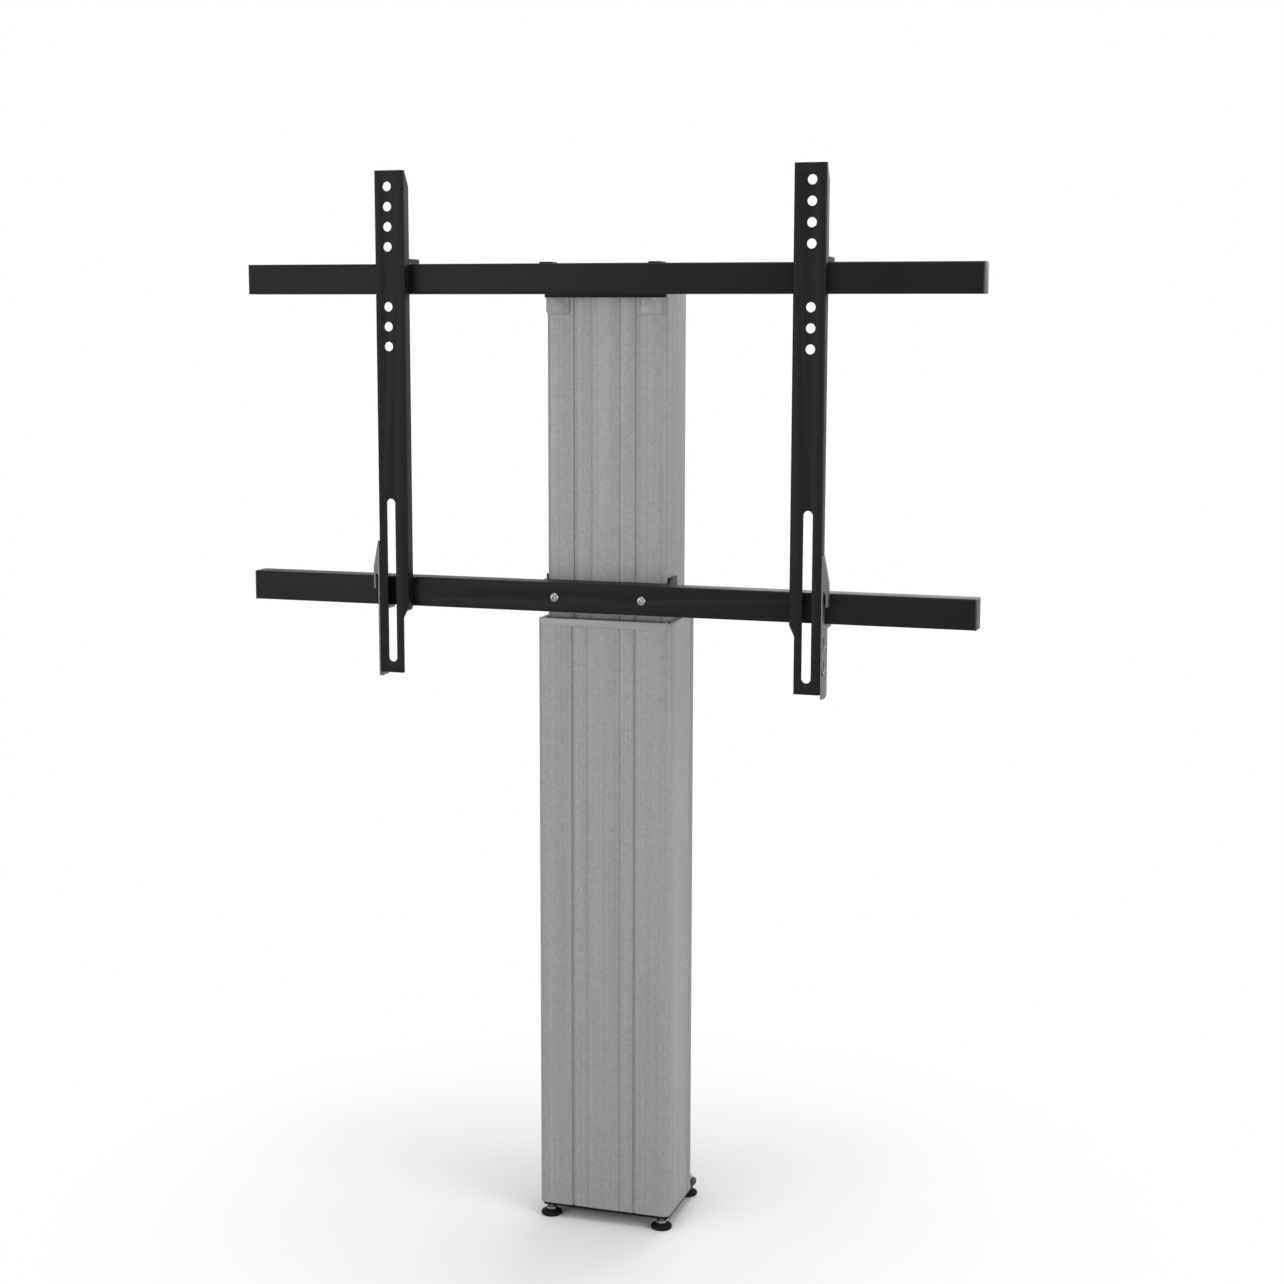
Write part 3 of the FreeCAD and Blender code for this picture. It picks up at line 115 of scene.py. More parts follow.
# %% A finish and its patterns
class Finish:
    """One material, its shader and the patterns that feed it."""

    def __init__(self, name, color, metallic, roughness):
        self.material = bpy.data.materials.new(name)
        self.material.use_nodes = True
        self.tree = self.material.node_tree
        self.shader = self.tree.nodes["Principled BSDF"]
        self.color = color
        self.place = self.node("ShaderNodeTexCoord").outputs["Object"]
        self.feed(self.shader.inputs["Base Color"], (*color, 1))
        self.feed(self.shader.inputs["Metallic"], metallic)
        self.feed(self.shader.inputs["Roughness"], roughness)
        print("finish:", name)

    def node(self, kind, settings=None, sockets=None):
        """Any node: its settings first, then the values or links of its sockets."""
        made = self.tree.nodes.new(kind)
        for key, value in (settings or {}).items():
            if key == "stops":
                self.set_stops(made, value)
            else:
                setattr(made, key, value)
        for key, value in (sockets or {}).items():
            self.feed(made.inputs[key], value)
        return made

    def set_stops(self, ramp, stops):
        """Give a colour ramp its stops."""
        elements = ramp.color_ramp.elements
        while len(elements) < len(stops):
            elements.new(0.5)
        for element, (position, color) in zip(elements, stops):
            element.position = position
            element.color = (*color, 1)

    def feed(self, socket, value):
        """Set a socket, or link it."""
        if isinstance(value, Number):
            value = value.socket
        if isinstance(value, bpy.types.NodeSocket):
            self.tree.links.new(value, socket)
        else:
            socket.default_value = value

    def stretched(self, x, y, z):
        """Object coordinates, stretched along an axis by a small factor there."""
        mapping = self.node("ShaderNodeMapping", None, {"Vector": self.place, "Scale": (x, y, z)})
        return mapping.outputs["Vector"]

    def noise(self, scale, detail=3.0, roughness=0.6, place=None):
        """Soft clouds from 0 to 1."""
        sockets = {"Vector": place or self.place, "Scale": scale, "Detail": detail,
                   "Roughness": roughness}
        return Number(self, self.node("ShaderNodeTexNoise", None, sockets).outputs["Fac"])

    def cells(self, scale):
        """Flat cells, each with its own value."""
        sockets = {"Vector": self.place, "Scale": scale}
        node = self.node("ShaderNodeTexVoronoi", {"feature": "F1"}, sockets)
        part = self.node("ShaderNodeSeparateColor", None, {"Color": node.outputs["Color"]})
        return Number(self, part.outputs[0])

    def axis(self, name):
        """One coordinate as a number."""
        parts = self.node("ShaderNodeSeparateXYZ", None, {"Vector": self.place})
        return Number(self, parts.outputs[name])

    def vary_color(self, amount, other):
        """Mix the base colour with another by an amount that changes over the surface."""
        sockets = {"Factor": amount, 6: (*self.color, 1), 7: (*other, 1)}
        mix = self.node("ShaderNodeMix", {"data_type": "RGBA"}, sockets)
        self.feed(self.shader.inputs["Base Color"], mix.outputs[2])

    def vary_roughness(self, value):
        """Feed the roughness from a pattern."""
        self.feed(self.shader.inputs["Roughness"], value)

    def bump(self, height, depth, strength=1.0):
        """Raise the surface by a pattern, as deep as depth in metres."""
        sockets = {"Height": height, "Distance": depth, "Strength": strength}
        bump = self.node("ShaderNodeBump", None, sockets)
        self.feed(self.shader.inputs["Normal"], bump.outputs["Normal"])


print("patterns: noise, cells, axis")

# %% [markdown]
# The column is extruded aluminium, blasted and anodised. Close up it isn't one grey: the
# blasting leaves a speckle of about a millimetre, softer clouds lie over it, and the die leaves
# faint lines up the length. Two noises give the speckle, one noise stretched along Z gives the
# lines, and all three also move the bump. The contrast stays low, or the metal looks like felt.
# An anodised skin is only half a mirror, so metallic stays well below 1.

# %% Blasted aluminium
def blasted_aluminium():
    finish = Finish("blasted_aluminium", (0.335, 0.335, 0.337), 0.4, 0.5)
    speckle = finish.noise(820.0, 2.0, 0.6)
    mottle = finish.noise(230.0, 3.0, 0.6)
    lines = finish.noise(240.0, 3.0, 0.6, finish.stretched(1.0, 1.0, 0.006))
    grain = speckle * 0.65 + mottle * 0.35
    finish.vary_color((grain - 0.5) * 2.4 + (lines - 0.5) * 0.9 + 0.5, (0.215, 0.215, 0.218))
    finish.vary_roughness(0.42 + grain * 0.14 + lines * 0.08)
    finish.bump(grain * 0.6 + lines * 0.4, 0.00008, 0.5)
    return finish


silver = blasted_aluminium()

# %% [markdown]
# The rails and arms are powder coated. Powder melts into a skin with a soft orange peel, a
# little duller in some places than in others, so one noise of about a millimetre moves the
# bump and a larger one moves the roughness. A matt powder mirrors less than a gloss paint, so
# its specular level is low, and the black stays black beside a white wall.

# %% Black powder coat
def black_powder():
    finish = Finish("black_powder", (0.005, 0.005, 0.0052), 0.0, 0.45)
    finish.feed(finish.shader.inputs["Specular IOR Level"], 0.15)
    peel = finish.noise(700.0, 2.0, 0.5)
    cloud = finish.noise(9.0, 4.0, 0.6)
    dust = finish.noise(2600.0, 1.0, 0.5)
    finish.vary_color((cloud * 0.5 + dust * 0.5 - 0.42) * 1.4, (0.013, 0.013, 0.0135))
    finish.vary_roughness(0.36 + cloud * 0.2 + peel * 0.06)
    finish.bump(peel, 0.00015, 0.5)
    return finish


powder = black_powder()

# %% [markdown]
# Screws and studs are zinc plated steel. Zinc grows in small crystals, so cells a few
# millimetres wide each take a slightly different grey and gloss, with fine rolling scratches
# over them. The same function makes two rougher finishes for pressed sheet: a dark one for the
# latches and a satin one, nearly as light as the column, for the hangers.

# %% Zinc plate
def zinc_plate(name, grey, darker, metallic, gloss):
    finish = Finish(name, (grey, grey, grey * 1.02), metallic, gloss)
    crystal = finish.cells(260.0)
    scratch = finish.noise(900.0, 2.0, 0.6, finish.stretched(1.0, 1.0, 0.06))
    cloud = finish.noise(60.0, 3.0, 0.6)
    finish.vary_color(crystal * 0.4 + cloud * 0.3, (darker, darker, darker * 1.03))
    finish.vary_roughness(gloss - 0.08 + crystal * 0.12 + scratch * 0.12)
    finish.bump(scratch, 0.00004, 0.4)
    return finish


zinc = zinc_plate("zinc_plate", 0.3, 0.17, 1.0, 0.28)
dull_zinc = zinc_plate("dull_zinc", 0.16, 0.1, 0.6, 0.45)
satin_zinc = zinc_plate("satin_zinc", 0.27, 0.19, 0.4, 0.45)

# %% [markdown]
# The trim strip is about as light as the column, and its top edge is its brightest line.
# It is drawn and brushed along its length, so its scratches are a noise stretched along X.

# %% Brushed trim
def brushed_trim():
    finish = Finish("brushed_trim", (0.32, 0.32, 0.322), 0.3, 0.45)
    scratch = finish.noise(1200.0, 3.0, 0.6, finish.stretched(0.03, 1.0, 1.0))
    finish.vary_color(scratch * 0.6, (0.23, 0.23, 0.232))
    finish.vary_roughness(0.4 + scratch * 0.15)
    finish.bump(scratch, 0.00004, 0.4)
    return finish


bright_trim = brushed_trim()

# %% [markdown]
# Moulded plastic takes the spark eroded texture of its mould: a fine even grain. Rubber is the
# same idea but darker and rougher and it hardly mirrors, with a little dust where it has stood
# on floors.

# %% Plastic and rubber
def moulded(name, color, dust_color, gloss, mirror=0.5):
    finish = Finish(name, color, 0.0, gloss)
    finish.feed(finish.shader.inputs["Specular IOR Level"], mirror)
    grain = finish.noise(1500.0, 2.0, 0.5)
    cloud = finish.noise(24.0, 4.0, 0.6)
    finish.vary_color((cloud - 0.4) * 1.2, dust_color)
    finish.vary_roughness(gloss - 0.06 + grain * 0.12 + cloud * 0.06)
    finish.bump(grain, 0.0001, 0.5)
    return finish


black_plastic = moulded("black_plastic", (0.012, 0.012, 0.013), (0.024, 0.024, 0.025), 0.45)
black_rubber = moulded("black_rubber", (0.005, 0.005, 0.005), (0.011, 0.0108, 0.0105), 0.72,
                       mirror=0.15)
nylon = moulded("natural_nylon", (0.62, 0.6, 0.54), (0.5, 0.48, 0.42), 0.48)

# %% [markdown]
# The drive is hidden in the column, but it has finishes of its own: grey enamel on the motor,
# machined bronze on the nut, ground steel on the spindle, and on the supply a core of thin
# sheets beside varnished copper. Rings and layers are a sine of one coordinate.

# %% Finishes of the drive
def striped(name, color, other, metallic, gloss, axis, pitch):
    finish = Finish(name, color, metallic, gloss)
    wave = (finish.axis(axis) * (2 * pi / pitch)).sine() * 0.5 + 0.5
    wear = finish.noise(60.0, 4.0, 0.6)
    finish.vary_color(wave * 0.55 + wear * 0.3, other)
    finish.vary_roughness(gloss + wear * 0.12 - wave * 0.04)
    finish.bump(wave, 0.0001, 0.5)
    return finish


def enamel():
    finish = Finish("grey_enamel", (0.11, 0.115, 0.12), 0.0, 0.35)
    peel = finish.noise(500.0, 2.0, 0.5)
    cloud = finish.noise(30.0, 4.0, 0.6)
    finish.vary_color(cloud * 0.5, (0.075, 0.078, 0.082))
    finish.vary_roughness(0.28 + cloud * 0.16)
    finish.bump(peel, 0.00012, 0.5)
    return finish


motor_enamel = enamel()
bronze = striped("turned_bronze", (0.52, 0.33, 0.13), (0.36, 0.21, 0.08), 1.0, 0.28,
                 axis="Z", pitch=0.0005)
ground_steel = striped("ground_steel", (0.5, 0.5, 0.5), (0.36, 0.36, 0.36), 1.0, 0.22,
                       axis="Z", pitch=0.0007)
core_sheets = striped("core_sheets", (0.2, 0.2, 0.21), (0.1, 0.1, 0.1), 0.7, 0.4,
                      axis="Y", pitch=0.001)
varnished_copper = striped("varnished_copper", (0.5, 0.2, 0.08), (0.3, 0.1, 0.04), 0.8, 0.3,
                           axis="Z", pitch=0.0008)

# %% [markdown]
# The controller's board is green lacquer over copper tracks. Tracks run mostly up and across,
# which a noise stretched one way and then the other suggests well enough at this size.

# %% Board lacquer
def board_lacquer():
    finish = Finish("board_lacquer", (0.012, 0.06, 0.025), 0.0, 0.35)
    up = finish.noise(260.0, 1.0, 0.3, finish.stretched(1.0, 1.0, 0.08)).above(0.52)
    across = finish.noise(260.0, 1.0, 0.3, finish.stretched(0.08, 1.0, 1.0)).above(0.58)
    tracks = up * 0.5 + across * 0.5
    finish.vary_color(tracks, (0.03, 0.14, 0.05))
    finish.vary_roughness(0.38 - tracks * 0.1)
    finish.bump(tracks, 0.00005, 0.5)
    return finish


lacquer = board_lacquer()

# %% [markdown]
# Every piece starts as a small bmesh: a cube or a cone from an operator, or a few points of
# an outline that an operator then spins or extrudes. These helpers give the forms that this
# object is made of: blocks, round bars, prisms and turned pieces.

# %% Blocks, bars, prisms and turned pieces
X = Vector((1, 0, 0))
Y = Vector((0, 1, 0))
Z = Vector((0, 0, 1))
SAME_POINT = 1e-7


def block(low, high):
    """A box between two corners."""
    mesh = bmesh.new()
    bmesh.ops.create_cube(mesh, size=1.0)
    low = Vector(low)
    high = Vector(high)
    bmesh.ops.scale(mesh, vec=high - low, verts=mesh.verts)
    bmesh.ops.translate(mesh, vec=(low + high) / 2, verts=mesh.verts)
    return mesh


def turn_to(mesh, base, along):
    """Stand a shape that was made along Z on a point, along another axis."""
    turn = Z.rotation_difference(along).to_matrix().to_4x4()
    bmesh.ops.transform(mesh, matrix=Matrix.Translation(base) @ turn, verts=mesh.verts)
    return mesh


def bar(radius, base, along, length, sides=48):
    """A round bar, or with six sides a hexagonal one."""
    mesh = bmesh.new()
    bmesh.ops.create_cone(mesh, cap_ends=True, segments=sides, radius1=radius, radius2=radius,
                          depth=length)
    bmesh.ops.translate(mesh, vec=(0, 0, length / 2), verts=mesh.verts)
    return turn_to(mesh, base, along)


def close_up(mesh):
    """Fill the open ends of a shape and turn its faces outwards."""
    bmesh.ops.holes_fill(mesh, edges=[e for e in mesh.edges if e.is_boundary])
    bmesh.ops.recalc_face_normals(mesh, faces=mesh.faces)


def pushed(places, step):
    """A prism: the outline through some places, extruded by a step."""
    mesh = bmesh.new()
    face = mesh.faces.new([mesh.verts.new(place) for place in places])
    grown = bmesh.ops.extrude_face_region(mesh, geom=[face])
    moved = [v for v in grown["geom"] if isinstance(v, bmesh.types.BMVert)]
    bmesh.ops.translate(mesh, vec=step, verts=moved)
    close_up(mesh)
    return mesh


def turned(outline, base, along, steps=48):
    """Spin an outline of radius and height pairs all the way round."""
    mesh = bmesh.new()
    points = [mesh.verts.new((radius, 0, height)) for radius, height in outline]
    edges = [mesh.edges.new(pair) for pair in zip(points, points[1:])]
    bmesh.ops.spin(mesh, geom=points + edges, axis=Z, angle=2 * pi, steps=steps, use_merge=True)
    bmesh.ops.remove_doubles(mesh, verts=mesh.verts, dist=SAME_POINT)
    bmesh.ops.recalc_face_normals(mesh, faces=mesh.faces)
    return turn_to(mesh, base, along)


print("forms: block, bar, pushed, turned")

# %% [markdown]
# Holes and hooks need shapes to be cut from or welded to each other. The Boolean modifier
# does that exactly, so a helper puts two shapes in the scene for a moment, reads the result
# back and takes them out again. Softened edges come last, because real sheet has no edge that
# is perfectly sharp, and it is those small edges that catch the light.

# %% Cutting, welding and softening
SAME_CORNER = 1e-6
NEARLY_FLAT = radians(0.5)
SHARP = radians(30)


def as_object(mesh, name):
    """A mesh object that holds a bmesh."""
    data = bpy.data.meshes.new(name)
    mesh.to_mesh(data)
    mesh.free()
    made = bpy.data.objects.new(name, data)
    bpy.context.scene.collection.objects.link(made)
    return made


def combine(first, second, operation):
    """The Boolean of two shapes, as a new bmesh."""
    body = as_object(first, "body_shape")
    tool = as_object(second, "tool_shape")
    modifier = body.modifiers.new("combine", "BOOLEAN")
    modifier.operation = operation
    modifier.solver = "EXACT"
    modifier.object = tool
    seen = body.evaluated_get(bpy.context.evaluated_depsgraph_get())
    result = bmesh.new()
    result.from_mesh(seen.to_mesh())
    seen.to_mesh_clear()
    for shape in (body, tool):
        data = shape.data
        bpy.data.objects.remove(shape)
        bpy.data.meshes.remove(data)
    return result


def cut(first, second):
    return combine(first, second, "DIFFERENCE")


def weld(first, second):
    return combine(first, second, "UNION")


def together(shapes):
    """Several closed shapes in one mesh, side by side."""
    whole = bmesh.new()
    for shape in shapes:
        data = bpy.data.meshes.new("side_by_side")
        shape.to_mesh(data)
        shape.free()
        whole.from_mesh(data)
        bpy.data.meshes.remove(data)
    return whole


def merge_flat(mesh):
    """Join the triangles of each flat face into one face."""
    bmesh.ops.remove_doubles(mesh, verts=mesh.verts, dist=SAME_CORNER)
    bmesh.ops.dissolve_limit(mesh, angle_limit=NEARLY_FLAT, verts=mesh.verts, edges=mesh.edges)


def is_sharp(edge):
    """Whether two faces meet at an edge with more than a slight angle."""
    return len(edge.link_faces) == 2 and edge.calc_face_angle(0) > SHARP


def round_edges(mesh, edges, width, segments):
    """Bevel some edges to a round."""
    bmesh.ops.bevel(mesh, geom=edges, offset=width, offset_type="OFFSET", affect="EDGES",
                    segments=segments, profile=0.5, material=-1, clamp_overlap=True)


def soften(mesh, width, segments=2):
    """Round every sharp edge."""
    merge_flat(mesh)
    round_edges(mesh, [edge for edge in mesh.edges if is_sharp(edge)], width, segments)
    return mesh


print("helpers: cut, weld, together, soften")

# %% [markdown]
# A finished piece is a mesh object at the origin, with its finish, the body that it rides on
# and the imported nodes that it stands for. Its small rounds are shaded smooth, and edges that
# are sharper than a slight angle stay crisp.

# %% Placing pieces
SMOOTH_BELOW = radians(32)


def piece(name, mesh, finish, body, nodes=()):
    """Put a piece in the scene, riding on its body."""
    made = as_object(mesh, name)
    made.data.materials.append(finish.material)
    made.data.polygons.foreach_set("use_smooth", [True] * len(made.data.polygons))
    made.data.set_sharp_from_angle(angle=SMOOTH_BELOW)
    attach(made, body)
    if nodes:
        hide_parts(*nodes)
    print(name, "faces:", len(made.data.polygons))
    return made


print("edges shade smooth below", round(SMOOTH_BELOW, 2), "radians")

# %% [markdown]
# Many small things come in groups, such as the screws of one bracket. A group is one packed
# node with several separate solids, so its islands give the place and size of each copy. They
# are found in the order of the mesh, so that every run lists them alike.

# %% Islands of a node
def islands(node):
    """The vertex places of each separate solid in a node."""
    mesh = bmesh.new()
    mesh.from_mesh(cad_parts[node].data)
    bmesh.ops.remove_doubles(mesh, verts=mesh.verts, dist=SAME_POINT)
    seen = set()
    groups = []
    for start in mesh.verts:
        if start in seen:
            continue
        seen.add(start)
        reached = [start]
        for vert in reached:
            for edge in vert.link_edges:
                other = edge.other_vert(vert)
                if other not in seen:
                    seen.add(other)
                    reached.append(other)
        groups.append([vert.co.copy() for vert in reached])
    mesh.free()
    return groups


def extent(places):
    """The two corners of some places."""
    low = Vector([min(p[k] for p in places) for k in range(3)])
    high = Vector([max(p[k] for p in places) for k in range(3)])
    return low, high


print("rail screws:", len(islands("rail_screws")))

# %% [markdown]
# A rail is one strip of sheet folded twice. An outline of eight points gives its section, an
# extrusion gives its length, and the two folds are bevelled to the radius that a press leaves.
# The same helper folds the arms, which run up instead of across.

# %% Folded channels
SHEET = 2.5 * MM
FOLD = 3.0 * MM
FOLD_STEPS = 5
SCREW_HOLE = 8 * MM
SHEET_EDGE = 0.3 * MM


def channel(low, high, across, along):
    """A channel folded from sheet and open to the back."""
    near = low.y
    side_low = low[across]
    side_high = high[across]
    outline = [(side_low, near), (side_high, near), (side_high, high.y)]
    outline += [(side_high - SHEET, high.y), (side_high - SHEET, near + SHEET)]
    outline += [(side_low + SHEET, near + SHEET), (side_low + SHEET, high.y), (side_low, high.y)]
    places = []
    for side, depth in outline:
        place = Vector((0, depth, 0))
        place[across] = side
        place[along] = low[along]
        places.append(place)
    step = Vector()
    step[along] = high[along] - low[along]
    mesh = pushed(places, step)
    for depth, radius in ((near, FOLD), (near + SHEET, FOLD - SHEET)):
        fold = [edge for edge in mesh.edges if runs_along(edge, depth, along)]
        round_edges(mesh, fold, radius, FOLD_STEPS)
    return mesh


def runs_along(edge, depth, along):
    """Whether an edge lies at one depth and runs along an axis."""
    first, second = (vert.co for vert in edge.verts)
    at_depth = abs(first.y - depth) < SAME_CORNER and abs(second.y - depth) < SAME_CORNER
    return at_depth and abs(first[along] - second[along]) > MM


def rail(name):
    """One rail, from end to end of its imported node."""
    low, high = corners(name)
    mesh = channel(low, high, 2, 0)
    if name == "lower_rail":
        for group in islands("rail_screws"):
            hole_low, hole_high = extent(group)
            place = (hole_low + hole_high) / 2
            place.y = low.y - 5 * MM
            mesh = cut(mesh, bar(SCREW_HOLE / 2, place, Y, 12 * MM, 32))
    soften(mesh, SHEET_EDGE)
    return piece(name + "_folded", mesh, powder, "lift", [name])


rail("upper_rail")
rail("lower_rail")

# %% [markdown]
# The rails' open ends are closed by moulded caps. Each cap has a face with a softened rim and
# a plug that grips inside the channel, so two blocks with rounded edges make it.

# %% End caps
CAP_FACE = 2 * MM
CAP_ROUND = 0.7 * MM
PLUG_ROUND = 0.5 * MM
PLUG_PLAY = 0.2 * MM


def end_cap(low, high, side):
    """One cap; side is -1 at the left end of a rail and 1 at its right end."""
    outer = high.x if side > 0 else low.x
    inner = outer - side * CAP_FACE
    deep = low.x if side > 0 else high.x
    start, end = sorted((outer, inner))
    face = soften(block((start, low.y, low.z), (end, high.y, high.z)), CAP_ROUND, 3)
    start, end = sorted((inner, deep))
    rim = SHEET + PLUG_PLAY
    plug = block((start, low.y + rim, low.z + rim), (end, high.y - rim, high.z - rim))
    return [face, soften(plug, PLUG_ROUND)]


caps = []
for group in islands("rail_end_caps"):
    low, high = extent(group)
    caps += end_cap(low, high, 1 if low.x > 0 else -1)
piece("end_caps", together(caps), black_plastic, "lift", ["rail_end_caps"])

# %% [markdown]
# An arm is folded the same way and then punched: four round holes, three more below the upper
# rail, and one long slot. Its hooks reach over the upper rail. Below the lower rail its inner
# side steps in, and its top corners are cut on a slant so that they don't catch.

# %% Arm sizes
HOLE = 12 * MM
PITCH = 25 * MM
HOLE_STEPS = (0, 1, 2, 3, 6, 7, 8)
FIRST_HOLE = 20 * MM
SLOT_STARTS = 400 * MM
SLOT_ENDS = 600 * MM
HOLE_FROM_OUTER = 17.5 * MM
ARM_DEPTH = 16.7 * MM
STEP_IN = 7 * MM
STEP_TALL = 14 * MM
SLANT_DOWN = 20 * MM
SLANT_BACK = 12 * MM
GAP = 0.3 * MM
HOOK_TALL = 6 * MM
HOOK_ROUND = 2 * MM
HOOK_OVERLAP = 2 * MM
NOSE_DOWN = 10 * MM
NOSE_THICK = 3.7 * MM
PUNCH_STARTS = 2 * MM


def long_hole(centre_x, front, z0, z1):
    """The punch of the slot: the hull of two round punches."""
    punch = together([bar(HOLE / 2, Vector((centre_x, front, z)), Y, 10 * MM) for z in (z0, z1)])
    hull = bmesh.ops.convex_hull(punch, input=punch.verts)
    inside = [g for g in hull["geom_interior"] if isinstance(g, bmesh.types.BMVert)]
    bmesh.ops.delete(punch, geom=inside, context="VERTS")
    loose = [f for f in punch.faces if f not in hull["geom"]]
    bmesh.ops.delete(punch, geom=loose, context="FACES_ONLY")
    bmesh.ops.recalc_face_normals(punch, faces=punch.faces)
    return punch


def wedge(points, axis, start, length):
    """A prism from an outline, pushed along X or Y."""
    places = [(start, a, b) if axis is X else (a, start, b) for a, b in points]
    return pushed(places, axis * length)


print("holes per arm:", len(HOLE_STEPS))

# %% [markdown]
# The two arms mirror each other. The helper works with a side of 1 or -1, and only the outer
# and inner edges change places, so nothing has to be turned inside out by a mirror.

# %% Fold and punch the arms
step_top = corners("lower_rail")[0].z
hook_bottom = corners("upper_rail")[1].z + GAP


def arm(name, side):
    """One arm: folded, punched, stepped, slanted and hooked."""
    low, high = corners(name)
    back = low.y + ARM_DEPTH
    mesh = channel(low, Vector((high.x, back, high.z)), 0, 2)
    outer = high.x if side > 0 else low.x
    inner = low.x if side > 0 else high.x
    hole_x = outer - side * HOLE_FROM_OUTER
    before = low.y - PUNCH_STARTS
    first = high.z - FIRST_HOLE
    for step in HOLE_STEPS:
        place = Vector((hole_x, before, first - step * PITCH))
        mesh = cut(mesh, bar(HOLE / 2, place, Y, 8 * MM))
    mesh = cut(mesh, long_hole(hole_x, before, first - SLOT_ENDS, first - SLOT_STARTS))
    beside = inner - side * MM
    stepped = inner + side * STEP_IN
    points = [(beside, step_top + 2 * MM), (stepped, step_top - STEP_TALL)]
    points += [(stepped, low.z - MM), (beside, low.z - MM)]
    mesh = cut(mesh, wedge(points, Y, before, 30 * MM))
    above = high.z + MM
    behind = back + MM
    points = [(behind, above), (back - SLANT_BACK, above), (back - SLANT_BACK, high.z)]
    points += [(back, high.z - SLANT_DOWN), (behind, high.z - SLANT_DOWN)]
    mesh = cut(mesh, wedge(points, X, low.x - MM, 50 * MM))
    for start in (low.x, high.x - SHEET):
        mesh = weld(mesh, hook(start, back, high.y))
    soften(mesh, SHEET_EDGE)
    return piece(name + "_folded", mesh, powder, name, [name])


def hook(start, back, far):
    """One hook in the plane of a flange, with its corners cut."""
    near = back - HOOK_OVERLAP
    nose = far - NOSE_THICK
    low = hook_bottom
    high = low + HOOK_TALL
    tip = low - NOSE_DOWN
    points = [(near, low), (nose, low), (nose, tip), (far, tip + HOOK_ROUND)]
    points += [(far, high - HOOK_ROUND), (far - HOOK_ROUND, high), (near, high)]
    return wedge(points, X, start, SHEET)


arm("left_arm", -1)
arm("right_arm", 1)

# %% [markdown]
# Sheet parts such as the latches, saddles and brackets already have the right shape in the
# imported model. What they lack is the small round that every sheared or moulded edge has. A
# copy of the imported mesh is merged, so that its loose triangles become one skin, and then its
# sharp edges are bevelled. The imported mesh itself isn't touched.

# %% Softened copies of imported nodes
def copy_of(node):
    """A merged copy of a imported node's mesh."""
    mesh = bmesh.new()
    mesh.from_mesh(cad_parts[node].data)
    bmesh.ops.remove_doubles(mesh, verts=mesh.verts, dist=SAME_CORNER)
    return mesh


def softened(node, width, finish, body, name):
    """A copy of a node with its edges rounded by a width in millimetres, in place of it."""
    return piece(name, soften(copy_of(node), width * MM), finish, body, [node])


for side in ("left", "right"):
    latch = side + "_latch"
    softened(latch, 0.35, dull_zinc, latch, latch + "_plate")
softened("top_trim", 0.8, bright_trim, "base", "trim_strip")
softened("upper_saddle", 0.4, powder, "lift", "upper_saddle_plate")
for side in ("left", "right"):
    softened("hanger_" + side, 0.4, satin_zinc, "lift", side + "_hanger_plate")
for height in ("upper", "lower"):
    softened("wall_bracket_" + height, 0.4, powder, "base", height + "_bracket")
softened("base_plate", 0.6, powder, "base", "foot_plate")

# %% [markdown]
# The columns are drawn through a die, so their section never changes. A die can't hold a knife
# edge, and blasting rounds the metal further, so the mouths of the front grooves are rounded:
# about a millimetre at the two deep grooves, and a third of that at the light lines.

# %% Columns with rounded grooves
MOUTH_DEPTH = 0.7 * MM
MOUTH_STEPS = 3
LIGHT_MOUTH = 0.3 * MM
UPRIGHT = 0.99


def rounded_mouths(mesh, front, inside, outside, width):
    """Round the upright edges at the front whose distance from the middle is in a range."""
    mouths = []
    for edge in mesh.edges:
        first, second = (vert.co for vert in edge.verts)
        upright = abs((second - first).normalized().z) > UPRIGHT
        at_front = max(first.y, second.y) < front + MOUTH_DEPTH
        if upright and at_front and is_sharp(edge) and inside < abs(first.x) < outside:
            mouths.append(edge)
    round_edges(mesh, mouths, width, MOUTH_STEPS)
    return len(mouths)


def drawn_column(node, name, rides, deep_from, deep_to, deep_mouth):
    """A column whose deep grooves lie between two distances from the middle."""
    mesh = copy_of(node)
    merge_flat(mesh)
    front = corners(node)[0].y
    deep = rounded_mouths(mesh, front, deep_from, deep_to, deep_mouth)
    light = rounded_mouths(mesh, front, 0.0, deep_from, LIGHT_MOUTH)
    print(name, "mouth edges:", deep, "deep and", light, "light")
    return piece(name, mesh, silver, rides, [node])


drawn_column("outer_column", "outer_shell", "base",
             deep_from=38 * MM, deep_to=46 * MM, deep_mouth=1.35 * MM)
drawn_column("inner_column", "inner_shell", "lift",
             deep_from=36 * MM, deep_to=46 * MM, deep_mouth=0.9 * MM)

# %% [markdown]
# All the screws are button heads with a hexagon recess. One outline of radius and height pairs,
# spun round, gives the dome, and a six sided bar cuts the recess. Each packed screw tells its
# own axis: the two sizes that are equal lie across it, and the wider end is the head.

# %% Button head screws
DOME = ((0.0, 1.0), (0.45, 0.98), (0.7, 0.86), (0.88, 0.62), (0.98, 0.3), (1.0, 0.12), (0.97, 0.0))
RECESS_WIDE = 0.46
RECESS_FLOOR = 0.35
HEADLESS = 1.2
AT_THE_END = 0.4 * MM
AXES = (X, Y, Z)


def axis_of(low, high):
    """The axis that runs along a screw."""
    size = high - low
    spread = [abs(size[(k + 1) % 3] - size[(k + 2) % 3]) for k in range(3)]
    return spread.index(min(spread))


def reach(places, centre, k):
    """How far from the axis some places lie."""
    return max(((p - centre) - AXES[k] * (p - centre)[k]).length for p in places)


